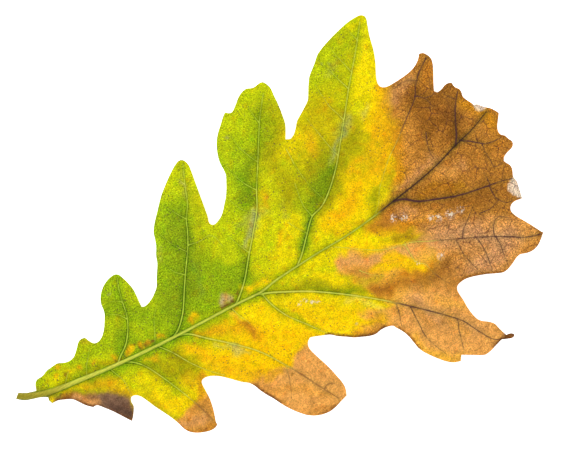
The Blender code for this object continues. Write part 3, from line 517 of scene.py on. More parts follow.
# Small marks: colour, strength, radius and places.
SPOTS = [
    ("papery", 0.4, 0.7, [(53.2, -6.0)]),
    ("light tan", 0.5, 0.8, [(54.6, -5.7)]),
    ("papery", 0.7, 0.3, [(77.9, -27.3)]),
    ("amber", 0.9, 1.1, [(31.6, -4.9), (44.8, -6.2)]),
    ("amber", 0.95, 1.1, [(28.4, -4.6)]),
    ("amber", 0.9, 0.9, [(36.4, -5.6)]),
    ("amber", 0.8, 0.6, [(37.4, -5.9)]),
    ("amber", 0.8, 0.8, [(24.6, -4.3), (16.4, -1.9)]),
    ("amber", 0.8, 0.7, [(10.6, -0.9), (13.4, -1.3), (12.0, 0.8)]),
    ("orange", 0.8, 0.9, [(33.4, -5.3)]),
    ("orange", 0.7, 0.6, [(19.4, -2.6)]),
    ("orange", 0.7, 0.7, [(55.4, -9.6)]),
    ("golden", 0.8, 0.8, [(29.4, -4.7), (64.6, -7.8)]),
    ("golden", 0.8, 0.9, [(46.0, -5.9), (60.4, -7.3)]),
    ("grey green", 0.8, 0.7, [(74.6, 26.0)]),
    ("blue grey", 0.7, 0.5, [(31.6, 9.2)]),
    ("blue grey", 0.6, 0.5, [(104.2, 28.2), (102.4, 29.2)]),
    ("rust", 0.7, 0.5, [(73.3, -3.6), (75.0, 9.4)]),
    ("rust", 0.8, 0.45, [(66.6, -17.0)]),
    ("rust", 0.7, 0.4, [(42.4, -11.4)]),
    ("rust", 0.6, 0.5, [(78.4, -28.6)]),
    ("rust", 0.6, 0.7, [(32.0, -26.4)]),
    ("dark brown", 0.8, 0.4, [(73.5, -23.2)]),
    ("dark brown", 0.7, 0.4, [(52.3, -25.0), (58.3, -29.0)]),
    ("dark brown", 0.6, 0.4, [(91.4, -7.1)]),
    ("deep brown", 0.95, 0.5, [(52.4, -7.1), (53.4, -7.4), (54.4, -7.5)]),
    ("deep brown", 0.9, 0.5, [(55.5, -7.3)]),
    ("deep brown", 0.9, 0.45, [(57.7, -5.7)]),
    ("deep brown", 0.7, 0.4, [(57.2, -6.5)]),
    ("deep brown", 0.85, 0.45, [(31.0, -5.4)]),
    ("deep brown", 0.8, 0.45, [(9.6, -5.5), (11.4, -6.2)]),
    ("deep brown", 0.8, 0.42, [(32.6, -5.6), (34.2, -5.7), (30.0, -4.5), (44.0, -4.2), (12.2, -1.9),
                               (24.4, -5.0)]),
    ("deep brown", 0.6, 0.6, [(34.0, -30.0)]),
    ("deep brown", 0.6, 0.3, [(71.5, 6.7)]),
    ("dark grey", 0.6, 0.24, [(54.6, -9.4)]),
    ("dark grey", 0.7, 0.5, [(105.0, -28.3)]),
]

# Stretches of the margin that turn down, with a thin dark edge painted on as their shade: colour, strength
# and line.
SHADED_EDGES = [
    ("deep brown", 0.8, [(70.6, -26.8), (76, -30.4)]),
    ("deep brown", 0.8, [(77, -31.2), (82, -31.6)]),
    ("deep brown", 0.8, [(49.4, -28), (52, -33)]),
    ("dark brown", 0.8, [(86, -34.6), (87, -39)]),
    ("dark brown", 0.8, [(105, -32), (113, -34.5)]),
    ("deep brown", 0.9, [(103.6, -48.6), (107.4, -49.6)]),
    ("rust", 0.7, [(28, -26), (31, -31)]),
    ("deep brown", 0.7, [(8, -6), (14, -12.4), (20, -20)]),
    ("rust", 0.6, [(126, 8), (131, 2)]),
    ("deep brown", 0.5, [(57, -36), (64, -44)]),
]

# Places where the skin is wet and shiny, given a clear coat and painted highlight flecks: radius and place.
WET = [
    (0.5, (68.5, -16.3)), (0.5, (70.2, -16.2)), (0.5, (71.3, -17.4)), (0.5, (72.6, -18.1)),
    (1.0, (98.0, -10.6)), (1.0, (100.2, -11.6)), (0.9, (102.8, -24.0)), (0.9, (107.0, -16.0)),
    (1.1, (109.8, -16.8)), (0.9, (112.4, -17.1)), (0.6, (97.4, -22.4)), (0.8, (105.6, -15.2)),
]

# The dead end round the apex.
APEX = [(116, 24), (113, 16), (110.6, 9), (108.0, 3), (103.0, -3), (96, -7.2), (96, -10), (99, -13),
        (102, -17), (104, -20), (103, -25), (97, -27), (89, -27.4), (84, -29), (76, -30), (84, -56),
        (140, -56), (140, 24)]
# The dead parts of the leaf, where the veins have gone dark and the blade is dry.
DEAD = [APEX] + [region for _, _, region in DRY_ENDS]
# The lobe whose small veins stay faint although it is dead.
FAINT_NET = [(80, -27), (92, -27), (103, -28), (106, -34), (112, -56), (80, -56)]


# ---- plane geometry

def smooth_line(points, step):
    """Points about a step apart on the centripetal Catmull-Rom curve through the given points."""
    knots = np.array(points, float)
    knots = np.vstack([2 * knots[0] - knots[1], knots, 2 * knots[-1] - knots[-2]])
    curve = [knots[1]]
    for a, b, c, d in zip(knots, knots[1:], knots[2:], knots[3:]):
        t1 = math.sqrt(np.linalg.norm(b - a))
        t2 = t1 + math.sqrt(np.linalg.norm(c - b))
        t3 = t2 + math.sqrt(np.linalg.norm(d - c))
        for t in np.linspace(t1, t2, 13)[1:]:
            ab = a + (b - a) * t / t1
            bc = b + (c - b) * (t - t1) / (t2 - t1)
            cd = c + (d - c) * (t - t2) / (t3 - t2)
            abc = ab + (bc - ab) * t / t2
            bcd = bc + (cd - bc) * (t - t1) / (t3 - t1)
            curve.append(abc + (bcd - abc) * (t - t1) / (t2 - t1))
    return evenly(np.array(curve), step)


def evenly(curve, step):
    """Points about a step apart along a polyline, its two ends among them."""
    along = np.concatenate([[0.0], np.cumsum(np.linalg.norm(np.diff(curve, axis=0), axis=1))])
    places = np.linspace(0.0, along[-1], max(2, round(along[-1] / step) + 1))
    return np.column_stack([np.interp(places, along, curve[:, k]) for k in range(curve.shape[1])])


def closed(loop):
    """The loop's points, with the first one again at the end."""
    return np.vstack([loop, loop[:1]])


def from_table(x, table):
    """The table's value at each x."""
    return np.interp(x, *zip(*table))


def line_gap(line, points):
    """Each point's distance to a polyline of few points, or to its only point."""
    line = np.array(line, float)
    if len(line) == 1:
        return np.linalg.norm(points - line[0], axis=1)
    nearest = np.full(len(points), 1e9)
    for a, b in zip(line, line[1:]):
        part = np.clip((points - a) @ (b - a) / ((b - a) @ (b - a)), 0.0, 1.0)
        nearest = np.minimum(nearest, np.linalg.norm(points - a - part[:, None] * (b - a), axis=1))
    return nearest


def inside(region, points):
    """Whether each point is within the closed region, by counting the edges to its right."""
    region = np.array(region, float)
    odd = np.zeros(len(points), bool)
    x, y = points[:, 0], points[:, 1]
    for (x1, y1), (x2, y2) in zip(region, np.roll(region, -1, axis=0)):
        if y1 != y2:
            odd ^= ((y1 > y) != (y2 > y)) & (x1 + (y - y1) * (x2 - x1) / (y2 - y1) > x)
    return odd


def soft_region(region, softness, points):
    """1 well within the closed region and 0 well outside it."""
    gap = line_gap(closed(region), points)
    signed = np.where(inside(region, points), gap, -gap)
    return ease(signed / softness + 0.5)


def ease(x):
    """x limited to 0..1, with a soft start and a soft end."""
    x = np.clip(x, 0.0, 1.0)
    return x * x * (3.0 - 2.0 * x)


def bell(gap, width):
    """1 where the gap is nothing, and soon 0 past the width."""
    return np.exp(-((gap / width) ** 2))


SLOPES = {}


def grain(points, size, seed):
    """Smooth noise from about -1 to 1, with features of the given size in leaf millimetres."""
    if seed not in SLOPES:
        SLOPES[seed] = np.random.default_rng(seed).uniform(0.0, 2.0 * math.pi, (256, 256))
    angles = SLOPES[seed]
    place = points / size + 500.0
    cell = np.floor(place).astype(int)
    part = place - cell
    fade = part**3 * (part * (part * 6.0 - 15.0) + 10.0)
    total = np.zeros(len(points))
    for dx in (0, 1):
        for dy in (0, 1):
            angle = angles[(cell[:, 0] + dx) % 256, (cell[:, 1] + dy) % 256]
            ramp = np.cos(angle) * (part[:, 0] - dx) + np.sin(angle) * (part[:, 1] - dy)
            weight_x = fade[:, 0] if dx else 1.0 - fade[:, 0]
            weight_y = fade[:, 1] if dy else 1.0 - fade[:, 1]
            total += weight_x * weight_y * ramp
    return 1.6 * total


def stirred(points, size, reach, seed):
    """The points, each moved by smooth noise, so that what is drawn at them has an uneven edge."""
    return points + reach * np.column_stack([grain(points, size, seed), grain(points, size, seed + 1)])


def tree_of(points):
    """A search tree of plane points."""
    tree = kdtree.KDTree(len(points))
    for i, (x, y) in enumerate(points):
        tree.insert((x, y, 0.0), i)
    tree.balance()
    return tree


def nearest_in(tree, points):
    """For each point, the index of the tree's nearest point and its distance."""
    found = [tree.find((x, y, 0.0)) for x, y in points]
    return np.array([f[1] for f in found]), np.array([f[2] for f in found])


# ---- the CAD's leaf

def cad_surface():
    """The CAD node's rim, in order, and its upper side's points with their heights, in leaf millimetres."""
    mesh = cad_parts[NODE].data
    low = np.array(NODE_LOW)
    places = np.array([v.co for v in mesh.vertices]) - (low[0], low[1], 0.0)
    places = np.round(places / MM, 4)
    _, first, group = np.unique(places, axis=0, return_index=True, return_inverse=True)
    places, group = places[first], group.reshape(-1)
    places[:, :2] += LEAF_LOW
    upper, wall_edges, upper_edges = set(), set(), {}
    for face in mesh.polygons:
        ring = [int(group[i]) for i in face.vertices]
        corners = places[ring]
        normal = np.cross(corners[1] - corners[0], corners[2] - corners[0])
        tilt = normal[2] / max(np.linalg.norm(normal), 1e-12)
        edges = list(zip(ring, ring[1:] + ring[:1]))
        if abs(tilt) < 1e-3:
            wall_edges.update(frozenset(e) for e in edges)
        elif tilt > 0:
            upper.update(ring)
            upper_edges.update({frozenset(e): e for e in edges})
    follows = dict(upper_edges[e] for e in wall_edges if e in upper_edges)
    start = min(follows)
    loop, here = [start], follows[start]
    while here != start:
        loop.append(here)
        here = follows[here]
    return places[loop][:, :2], places[sorted(upper)]


def smooth_rim(corners):
    """The rim as a smooth loop that keeps its sharp corners, in points about RIM_STEP apart."""
    before, after = np.roll(corners, 1, axis=0), np.roll(corners, -1, axis=0)
    a, b = corners - before, after - corners
    turn = np.abs(np.arctan2(a[:, 0] * b[:, 1] - a[:, 1] * b[:, 0], (a * b).sum(axis=1)))
    sharp = np.flatnonzero(turn > math.radians(48))
    rim = []
    for i, j in zip(sharp, np.roll(sharp, -1)):
        steps = (j - i) % len(corners) or len(corners)
        stretch = corners[(i + np.arange(steps + 1)) % len(corners)]
        rim.append(smooth_line(stretch, RIM_STEP)[:-1] if steps > 1 else evenly(stretch, RIM_STEP)[:-1])
    return np.vstack(rim)


def thin_plate(places, heights, stiffness=1e-3):
    """A function of the place that follows the heights with the least bending."""

    def kernel(points):
        lengths = (points**2).sum(axis=1)[:, None] + (places**2).sum(axis=1)[None, :]
        squares = (lengths - 2.0 * points @ places.T).clip(1e-9)
        return 0.5 * squares * np.log(squares)

    def plane(points):
        return np.column_stack([np.ones(len(points)), points])

    bend = kernel(places) + stiffness * np.eye(len(places))
    system = np.block([[bend, plane(places)], [plane(places).T, np.zeros((3, 3))]])
    weights = np.linalg.solve(system, np.concatenate([heights, np.zeros(3)]))

    def height(points):
        blocks = np.array_split(points, max(1, len(points) // 4000))
        return np.concatenate([kernel(b) @ weights[:-3] + plane(b) @ weights[-3:] for b in blocks])

    return height


# ---- the veins

def vein_lines():
    """Every vein as its points and the half width at each: the midrib, then the rest."""
    line = smooth_line(MIDRIB, VEIN_STEP)
    midrib = (line, from_table(line[:, 0], MIDRIB_WIDTH))
    rest = []
    for start, end, points in SIDE_VEINS:
        line = smooth_line(points, VEIN_STEP)
        rest.append((line, np.linspace(start, end, len(line))))
    for points in BRANCHES:
        line = stirred(smooth_line(points, VEIN_STEP), 2.4, 0.12, 31)
        rest.append((line, np.linspace(*BRANCH_WIDTH, len(line))))
    return midrib, rest


def small_net(rim):
    """The net of small veins: the walls between cells grown round jittered seeds, bent by smooth noise."""
    random = np.random.default_rng(7)
    low, high = rim.min(axis=0) - 8.0, rim.max(axis=0) + 8.0
    seeds = []
    for row, y in enumerate(np.arange(low[1], high[1], NET_CELL * ROW_SHARE)):
        for x in np.arange(low[0], high[0], NET_CELL):
            seeds.append((x + (row % 2) * NET_CELL / 2, y))
    seeds = np.array(seeds) + random.uniform(-0.36, 0.36, (len(seeds), 2)) * NET_CELL
    points, _, faces, *_ = delaunay_2d_cdt([Vector(s) for s in seeds], [], [], 0, 1e-5)
    points = np.array(points)
    centres, walls = [], {}
    for index, (i, j, k) in enumerate(faces):
        centres.append(circle_centre(points[i], points[j], points[k]))
        for pair in ((i, j), (j, k), (k, i)):
            walls.setdefault(frozenset(pair), []).append(index)
    lines = []
    for sides in walls.values():
        if len(sides) == 2:
            a, b = centres[sides[0]], centres[sides[1]]
            if 0.25 < np.linalg.norm(b - a) < 3.0 * NET_CELL:
                lines.append(evenly(np.array([a, b]), VEIN_STEP))
    bent = stirred(stirred(np.vstack(lines), 3.1, 0.55, 11), 1.0, 0.14, 13)
    return np.split(bent, np.cumsum([len(line) for line in lines])[:-1])


def circle_centre(a, b, c):
    """The centre of the circle through three points."""
    double = 2.0 * ((b[0] - a[0]) * (c[1] - a[1]) - (b[1] - a[1]) * (c[0] - a[0]))
    bb, cc = (b - a) @ (b - a), (c - a) @ (c - a)
    x = (c[1] - a[1]) * bb - (b[1] - a[1]) * cc
    y = (b[0] - a[0]) * cc - (c[0] - a[0]) * bb
    return a + np.array([x, y]) / double


# ---- the pattern

def flat_pattern(rim, veins, net):
    """The leaf's flat triangles: its points, the rim's first, and its faces."""
    rim_tree = tree_of(evenly(closed(rim), FINE_STEP))
    taken = {}
    points, edges = [tuple(p) for p in rim], []

    def key(p):
        return int(p[0] // LEAST_GAP), int(p[1] // LEAST_GAP)

    def place(p):
        """The point's number: its own, or that of one already closer than LEAST_GAP."""
        kx, ky = key(p)
        for i in range(kx - 1, kx + 2):
            for j in range(ky - 1, ky + 2):
                for other in taken.get((i, j), ()):
                    if math.dist(points[other], p) < LEAST_GAP:
                        return other
        points.append(tuple(p))
        taken.setdefault((kx, ky), []).append(len(points) - 1)
        return len(points) - 1

    for number, p in enumerate(rim):
        taken.setdefault(key(p), []).append(number)

    def kept(line, clearance):
        """Which of the points lie in the leaf and clear of its rim."""
        good = inside(rim, line)
        good[good] = nearest_in(rim_tree, line[good])[1] > clearance
        return good

    def draw(lines, wanted):
        """Adds the points and the edges of some lines, as far as they are wanted."""
        for line, good in zip(lines, np.split(wanted, np.cumsum([len(line) for line in lines])[:-1])):
            numbers = [place(p) if ok else None for p, ok in zip(line, good)]
            for a, b in zip(numbers, numbers[1:]):
                if a is not None and b is not None and a != b:
                    edges.append((a, b))

    lines = [line for line, _ in veins]
    draw(lines, kept(np.vstack(lines), RIM_CLEARANCE))
    beside = np.vstack([flank for line, width in veins for flank in flanks(line, width)])
    for p in beside[kept(beside, RIM_CLEARANCE)]:
        place(p)
    net_points = np.vstack(net)
    wanted = kept(net_points, RIM_CLEARANCE)
    wanted[wanted] = nearest_in(tree_of(np.vstack(lines)), net_points[wanted])[1] > VEIN_CLEARANCE
    draw(net, wanted)
    low, high = rim.min(axis=0), rim.max(axis=0)
    grid = []
    for row, y in enumerate(np.arange(low[1], high[1], GRID * ROW_SHARE)):
        grid += [(x + (row % 2) * GRID / 2, y) for x in np.arange(low[0], high[0], GRID)]
    grid = stirred(np.array(grid), 1.1, 0.12, 17)
    grid = grid[inside(rim, grid)]
    grid = grid[nearest_in(tree_of(points), grid)[1] > GRID * 0.62]
    points += [tuple(p) for p in grid[kept(grid, 0.25)]]
    loop = [(i, (i + 1) % len(rim)) for i in range(len(rim))]
    flat, _, faces, *_ = delaunay_2d_cdt([Vector(p) for p in points], loop + edges, [], 1, 1e-5)
    return np.array(flat), faces


def flanks(line, width):
    """Lines of points on both sides of a vein: at its edge, a little way out, and on it if it is wide."""
    run = np.gradient(line, axis=0)
    run /= np.linalg.norm(run, axis=1)[:, None]
    side = np.column_stack([-run[:, 1], run[:, 0]])
    shares = (0.5, 1.0) if width[0] > 0.5 else ()
    pairs = []
    for offset in [width * share for share in shares] + [width + extra for extra in (0.14, 0.55)]:
        pairs += [line + side * offset[:, None], line - side * offset[:, None]]
    return pairs


def surroundings(flat, rim, midrib, rest, net):
    """How each point lies to the veins and to the rim, and how dead the leaf is there.

    A distance is from the vein's middle, and a gap is from its edge. A rank is the nearest side vein's width
    as a share of a full vein's.
    """
    near = SimpleNamespace()
    number, _ = nearest_in(tree_of(midrib[0]), flat)
    near.midrib_x = midrib[0][number, 0]
    near.midrib_half = midrib[1][number]
    near.midrib_distance = line_gap(smooth_line(MIDRIB, COARSE_STEP), flat)
    near.midrib_gap = near.midrib_distance - near.midrib_half
    sides = np.vstack([evenly(np.column_stack([line, width]), FINE_STEP) for line, width in rest])
    number, near.side_distance = nearest_in(tree_of(sides[:, :2]), flat)
    near.side_half = sides[number, 2]
    near.side_gap = near.side_distance - near.side_half
    near.rank = (near.side_half / FULL_VEIN).clip(0, 1.2)
    near.net_gap = nearest_in(tree_of(np.vstack([evenly(line, FINE_STEP) for line in net])), flat)[1]
    near.rim_gap = nearest_in(tree_of(evenly(closed(rim), FINE_STEP)), flat)[1]
    near.rim_gap[: len(rim)] = 0.0
    near.dead = np.max([soft_region(region, 4.0, stirred(flat, 4.0, 1.0, 51)) for region in DEAD], axis=0)
    near.apex = soft_region(APEX, 3.0, flat)
    return near


# ---- the heights

def leaf_heights(flat, upper, near):
    """The heights of the leaf's upper and lower side at each point."""
    clear = line_gap(smooth_line(MIDRIB, COARSE_STEP), upper[:, :2]) > from_table(upper[:, 0], CAD_STALK)
    blade = upper[clear | (upper[:, 0] > CAD_STALK_END)]
    level = thin_plate(blade[:, :2], blade[:, 2])(flat) - 0.06
    off_stalk = np.interp(flat[:, 0], [4, 9], [0, 1])
    midrib_round = np.sqrt(1.0 - np.clip(near.midrib_distance / near.midrib_half, 0.0, 1.0) ** 2)
    side_round = np.sqrt(1.0 - np.clip(near.side_distance / (near.side_half * 1.2), 0.0, 1.0) ** 2)

    # the blade sinks along its veins and puckers between them
    sheet = -0.12 * bell(near.midrib_gap - 0.25, 0.5) * np.interp(near.midrib_x, [4, 12], [0, 1])
    sheet -= 0.17 * near.rank * bell(near.side_gap.clip(0), 0.55)
    sheet -= (0.05 + 0.04 * near.dead) * bell(near.net_gap, 0.32)
    sheet += 0.05 * (1.0 - bell(near.net_gap, 0.9))
    for size, living, extra, seed in PUCKERS:
        sheet += (living + extra * near.dead) * grain(flat, size, seed)
    sheet *= off_stalk

    ridge = from_table(near.midrib_x, RIDGE) * midrib_round + SIDE_RIDGE * near.rank * side_round * off_stalk
    top = level + sheet + ridge
    side_keel = SIDE_KEEL * near.rank * bell(near.side_distance, near.side_half * 1.5) * off_stalk
    keel = np.maximum(from_table(near.midrib_x, KEEL) * midrib_round, side_keel)
    keel += NET_KEEL * bell(near.net_gap, 0.22) * off_stalk
    bottom = (level + 0.7 * sheet - THICKNESS - keel).clip(0.0)
    return np.maximum(top, bottom + LEAST_THICKNESS), bottom


# ---- the colours

def painted(points, rim_gap):
    """The blade's colour at each point, in sRGB from 0 to 255, before its veins are drawn on it."""
    broad = stirred(stirred(points, 9.0, 1.6, 41), 2.2, 0.75, 43)
    fine = stirred(stirred(points, 4.0, 0.6, 45), 1.1, 0.35, 47)
    colour = np.tile(np.array(COLOURS["yellow"], float), (len(points), 1))

    def lay(name, weight):
        nonlocal colour
        weight = weight[:, None]
        colour = colour * (1.0 - weight) + np.array(COLOURS[name]) * weight

    def lay_washes(washes):
        for name, strength, reach, softness, line in washes:
            lay(name, strength * ease((reach - line_gap(line, broad)) / softness + 0.5))

    for name, softness, region in GROUNDS:
        lay(name, soft_region(region, softness, broad))
    lay_washes(WASHES)
    for name, softness, region in DRY_ENDS:
        lay(name, soft_region(region, softness, fine))
    lay_washes(DRY_WASHES)
    for name, strength, radius, places in SPOTS:
        for place in places:
            lay(name, strength * ease(1.25 - line_gap([place], fine) / radius))
    # painted shade: a thin dark edge along the stretches of margin that turn down
    at_rim = ease((0.55 - rim_gap) / 0.4 + 0.5)
    for name, strength, line in SHADED_EDGES:
        lay(name, strength * at_rim * ease((1.4 - line_gap(line, points)) / 0.8 + 0.5))
    for region in PAPERY:
        lay("papery", 0.9 * soft_region(region, 0.35, points))
    return colour


def between(first, second, share):
    """The first named colour where the share is 0, and the second where it is 1."""
    return COLOURS[first] + share[:, None] * np.subtract(COLOURS[second], COLOURS[first])


def leaf_colours(flat, near):
    """The blade's colour with painted shade beside its veins, its veins' colour and how green it is, at each
    point.
    """
    colour = painted(flat, near.rim_gap)
    green = np.clip((1.12 - colour[:, 0] / colour[:, 1]) / 0.25, 0.0, 1.0)
    alive = 1.0 - near.dead
    # painted shade: the blade darkened in bands beside the side veins and the midrib
    shade = (0.05 + 0.14 * green) * alive * near.rank * bell(near.side_gap.clip(0), 0.9)
    shade += 0.16 * near.dead * near.rank * bell(near.side_gap.clip(0), 0.8)
    shade += (0.08 + 0.08 * near.dead) * bell(near.midrib_gap.clip(0), 0.7)
    colour *= 1.0 - shade[:, None] * np.array([1.0, 0.65, 0.6])
    greener = np.where(near.midrib_gap < near.side_gap, 0.35 * green, green)
    living = between("pale vein", "green vein", greener)
    stalk = np.interp(flat[:, 0], [4, 14], [1, 0])[:, None]
    living = living * (1.0 - stalk) + np.array(COLOURS["stalk"]) * stalk
    tint = living * alive[:, None] + between("brown vein", "purple vein", near.apex) * near.dead[:, None]
    return colour, tint, green


def linear(colour):
    """sRGB from 0 to 255 as linear light from 0 to 1, with an alpha of 1."""
    c = np.clip(colour, 0.0, 255.0) / 255.0
    light = np.where(c <= 0.04045, c / 12.92, ((c + 0.055) / 1.055) ** 2.4)
    return np.column_stack([light, np.ones(len(light))])


# ---- the leaf

def leaf_mesh(flat, faces, rim_count, top, bottom):
    """The closed mesh: the flat points at their upper heights, then at the lower ones, and the rim's wall."""
    total = len(flat)
    places = flat + np.array([NODE_LOW.x, NODE_LOW.y]) / MM - LEAF_LOW
    vertices = np.vstack([np.column_stack([places, top]), np.column_stack([places, bottom])]) * MM
    upper = [tuple(f) for f in faces]
    lower = [(c + total, b + total, a + total) for a, b, c in upper]
    wall = [(j, i, i + total, j + total) for i, j in ((i, (i + 1) % rim_count) for i in range(rim_count))]
    mesh = bpy.data.meshes.new("autumn_oak_leaf")
    mesh.from_pydata(vertices.tolist(), [], upper + lower + wall)
    mesh.update()
    return mesh


def store(mesh, name, values, kind="FLOAT", field="value"):
    """Keeps the flat points' values as a named attribute, the same on the upper and on the lower side."""
    layer = mesh.attributes.new(name, kind, "POINT")
    layer.data.foreach_set(field, np.concatenate([values, values]).astype(np.float32).ravel())


def build_leaf():
    """The leaf, as one closed mesh with an upper and a lower skin."""
    corners, upper = cad_surface()
    rim = smooth_rim(corners)
    midrib, rest = vein_lines()
    net = small_net(rim)
    flat, faces = flat_pattern(rim, [midrib] + rest, net)
    near = surroundings(flat, rim, midrib, rest, net)
    top, bottom = leaf_heights(flat, upper, near)
    colour, tint, green = leaf_colours(flat, near)
    mesh = leaf_mesh(flat, faces, len(rim), top, bottom)

    store(mesh, "tissue", linear(colour), "FLOAT_COLOR", "color")
    store(mesh, "vein_tint", linear(tint), "FLOAT_COLOR", "color")
    store(mesh, "place", np.column_stack([flat, np.zeros(len(flat))]), "FLOAT_VECTOR", "vector")
    store(mesh, "midrib_gap", near.midrib_gap)
    store(mesh, "side_gap", near.side_gap)
    store(mesh, "net_gap", near.net_gap)
    store(mesh, "rank", near.rank.clip(0, 1))
    store(mesh, "dead", near.dead)
    store(mesh, "green", green)
    store(mesh, "netted", near.apex * near.dead * (1.0 - 0.8 * soft_region(FAINT_NET, 5.0, flat)))
    store(mesh, "wet", np.max([ease(1.3 - line_gap([p], flat) / radius) for radius, p in WET], axis=0))

    mesh.materials.append(leaf_material("leaf_upper", False))
    mesh.materials.append(leaf_material("leaf_under", True))
    slots = np.zeros(len(mesh.polygons), np.int32)
    slots[len(faces) : 2 * len(faces)] = 1
    mesh.polygons.foreach_set("material_index", slots)
    mesh.shade_smooth()
    mesh.set_sharp_from_angle(angle=math.radians(55))
    leaf = bpy.data.objects.new("autumn_oak_leaf", mesh)
    bpy.context.scene.collection.objects.link(leaf)
    return leaf


# ---- the materials

class Wiring:
    """Adds nodes to a tree and links them."""

    def __init__(self, tree):
        self.tree = tree

    def add(self, kind, inputs=(), **settings):
        """A node with its settings, each input set to a value or linked to another node's output."""
        node = self.tree.nodes.new(kind)
        for name, value in settings.items():
            setattr(node, name, value)
        for name, value in dict(inputs).items():
            self.feed(node.inputs[name], value)
        return node

    def feed(self, socket, value):
        """Links the socket to another node's output, or sets it to a value."""
        if isinstance(value, bpy.types.NodeSocket):
            self.tree.links.new(value, socket)
        else:
            socket.default_value = value

    def read(self, name, output="Fac"):
        """What the mesh stores at each point."""
        return self.add("ShaderNodeAttribute", attribute_name=name).outputs[output]

    def noise(self, place, scale, detail=3.0, roughness=0.5, distortion=0.0):
        """Noise from 0 to 1, with the scale in features per leaf millimetre."""
        inputs = {"Vector": place, "Scale": scale, "Detail": detail, "Roughness": roughness}
        return self.add("ShaderNodeTexNoise", {**inputs, "Distortion": distortion}).outputs["Fac"]

    def ramp(self, value, low, high, to_low, to_high, smooth=True):
        """value from low..high as to_low..to_high, and never beyond them."""
        kind = "SMOOTHSTEP" if smooth else "LINEAR"
        inputs = {"Value": value, "From Min": low, "From Max": high, "To Min": to_low, "To Max": to_high}
        return self.add("ShaderNodeMapRange", inputs, interpolation_type=kind).outputs["Result"]

    def maths(self, operation, first, *others):
        """The first number, combined with each of the others in turn."""
        for other in others:
            first = self.add("ShaderNodeMath", {0: first, 1: other}, operation=operation).outputs[0]
        return first

    def product(self, *numbers):
        return self.maths("MULTIPLY", *numbers)

    def total(self, *numbers):
        return self.maths("ADD", *numbers)

    def mixed(self, factor, a, b, blend="MIX"):
        """a where the factor is 0, and b where it is 1."""
        node = self.add("ShaderNodeMix", data_type="RGBA", blend_type=blend)
        for index, value in ((0, factor), (6, a), (7, b)):
            self.feed(node.inputs[index], value)
        return node.outputs[2]

    def dyed(self, colour, red, green, blue):
        """The colour with each of its parts multiplied by a number."""
        return self.mixed(1.0, colour, (red, green, blue, 1.0), "MULTIPLY")

    def times(self, colour, number):
        """The colour multiplied by one number."""
        return self.add("ShaderNodeVectorMath", {0: colour, "Scale": number}, operation="SCALE").outputs[0]


class Skin(Wiring):
    """The leaf material's wiring, with what several of its layers use."""

    def __init__(self, tree):
        super().__init__(tree)
        self.place = self.read("place", "Vector")
        self.dead = self.read("dead")
        self.green = self.read("green")
        self.netted = self.read("netted")
        self.wet = self.read("wet")
        self.tint = self.read("vein_tint", "Color")
        self.grit = self.noise(self.place, 3.0, 3.0, 0.85)
        self.cells = self.fine_cells()

    def fine_cells(self):
        """The gap to the nearest wall between crooked cells about a millimetre across."""
        wobble = self.add("ShaderNodeTexNoise", {"Vector": self.place, "Scale": 1.4, "Detail": 2.0})
        moves = self.times(wobble.outputs["Color"], 0.8)
        bent = self.add("ShaderNodeVectorMath", {0: self.place, 1: moves}, operation="ADD").outputs[0]
        settings = {"feature": "DISTANCE_TO_EDGE", "voronoi_dimensions": "2D"}
        cells = self.add("ShaderNodeTexVoronoi", {"Vector": bent, "Scale": 0.95}, **settings)
        return cells.outputs["Distance"]


def drifting(w, colour):
    """Stains that drift in hue and in lightness over 1 to 4 mm."""
    hue = w.noise(w.place, 0.42, 4.0, 0.62)
    warmer = w.product(w.ramp(hue, 0.52, 0.72, 0.0, 0.85), w.ramp(w.dead, 0.0, 0.6, 0.8, 0.5))
    cooler = w.product(w.ramp(hue, 0.48, 0.28, 0.0, 0.85), w.ramp(w.green, 0.0, 1.0, 0.6, 1.0, False))
    greenish, brownish = w.dyed(colour, 0.74, 0.98, 0.8), w.dyed(colour, 0.80, 0.72, 0.84)
    cool = w.mixed(w.ramp(w.dead, 0.0, 0.6, 0.0, 1.0), greenish, brownish)
    colour = w.mixed(warmer, colour, w.dyed(colour, 1.08, 0.76, 0.5))
    colour = w.mixed(cooler, colour, cool)
    patches = w.ramp(w.noise(w.place, 0.6, 5.0, 0.7, 0.4), 0.3, 0.7, -0.3, 0.3, False)
    drift = w.product(patches, w.ramp(w.dead, 0.0, 1.0, 0.8, 1.15, False))
    return w.times(colour, w.total(1.0, drift))


def gritty(w, colour):
    """Light and dark grains half a millimetre across, strongest where the leaf is green or netted."""
    contrast = w.total(0.55, w.product(w.green, 0.5), w.product(w.netted, 0.5))
    swing = w.product(w.ramp(w.grit, 0.32, 0.68, -0.78, 0.78, False), contrast)
    return w.times(colour, w.total(1.0, swing))


def fine_net(w, colour):
    """The finest net, about a millimetre across: dark lines, and pale ones where the leaf is green."""
    line = w.ramp(w.cells, 0.01, 0.12, 1.0, 0.0)
    here = w.ramp(w.noise(w.place, 0.22, 2.0), 0.36, 0.58, 0.35, 1.0)
    depth = w.total(w.ramp(w.dead, 0.0, 1.0, 0.16, 0.10, False), w.product(w.netted, 0.34))
    depth = w.total(depth, w.product(w.green, -0.12))
    colour = w.mixed(w.product(line, depth, here), colour, w.dyed(colour, 0.22, 0.02, 0.30))
    pale = w.product(line, here, w.ramp(w.green, 0.2, 1.0, 0.0, 0.5))
    return w.mixed(pale, colour, w.dyed(colour, 1.5, 1.4, 1.6))


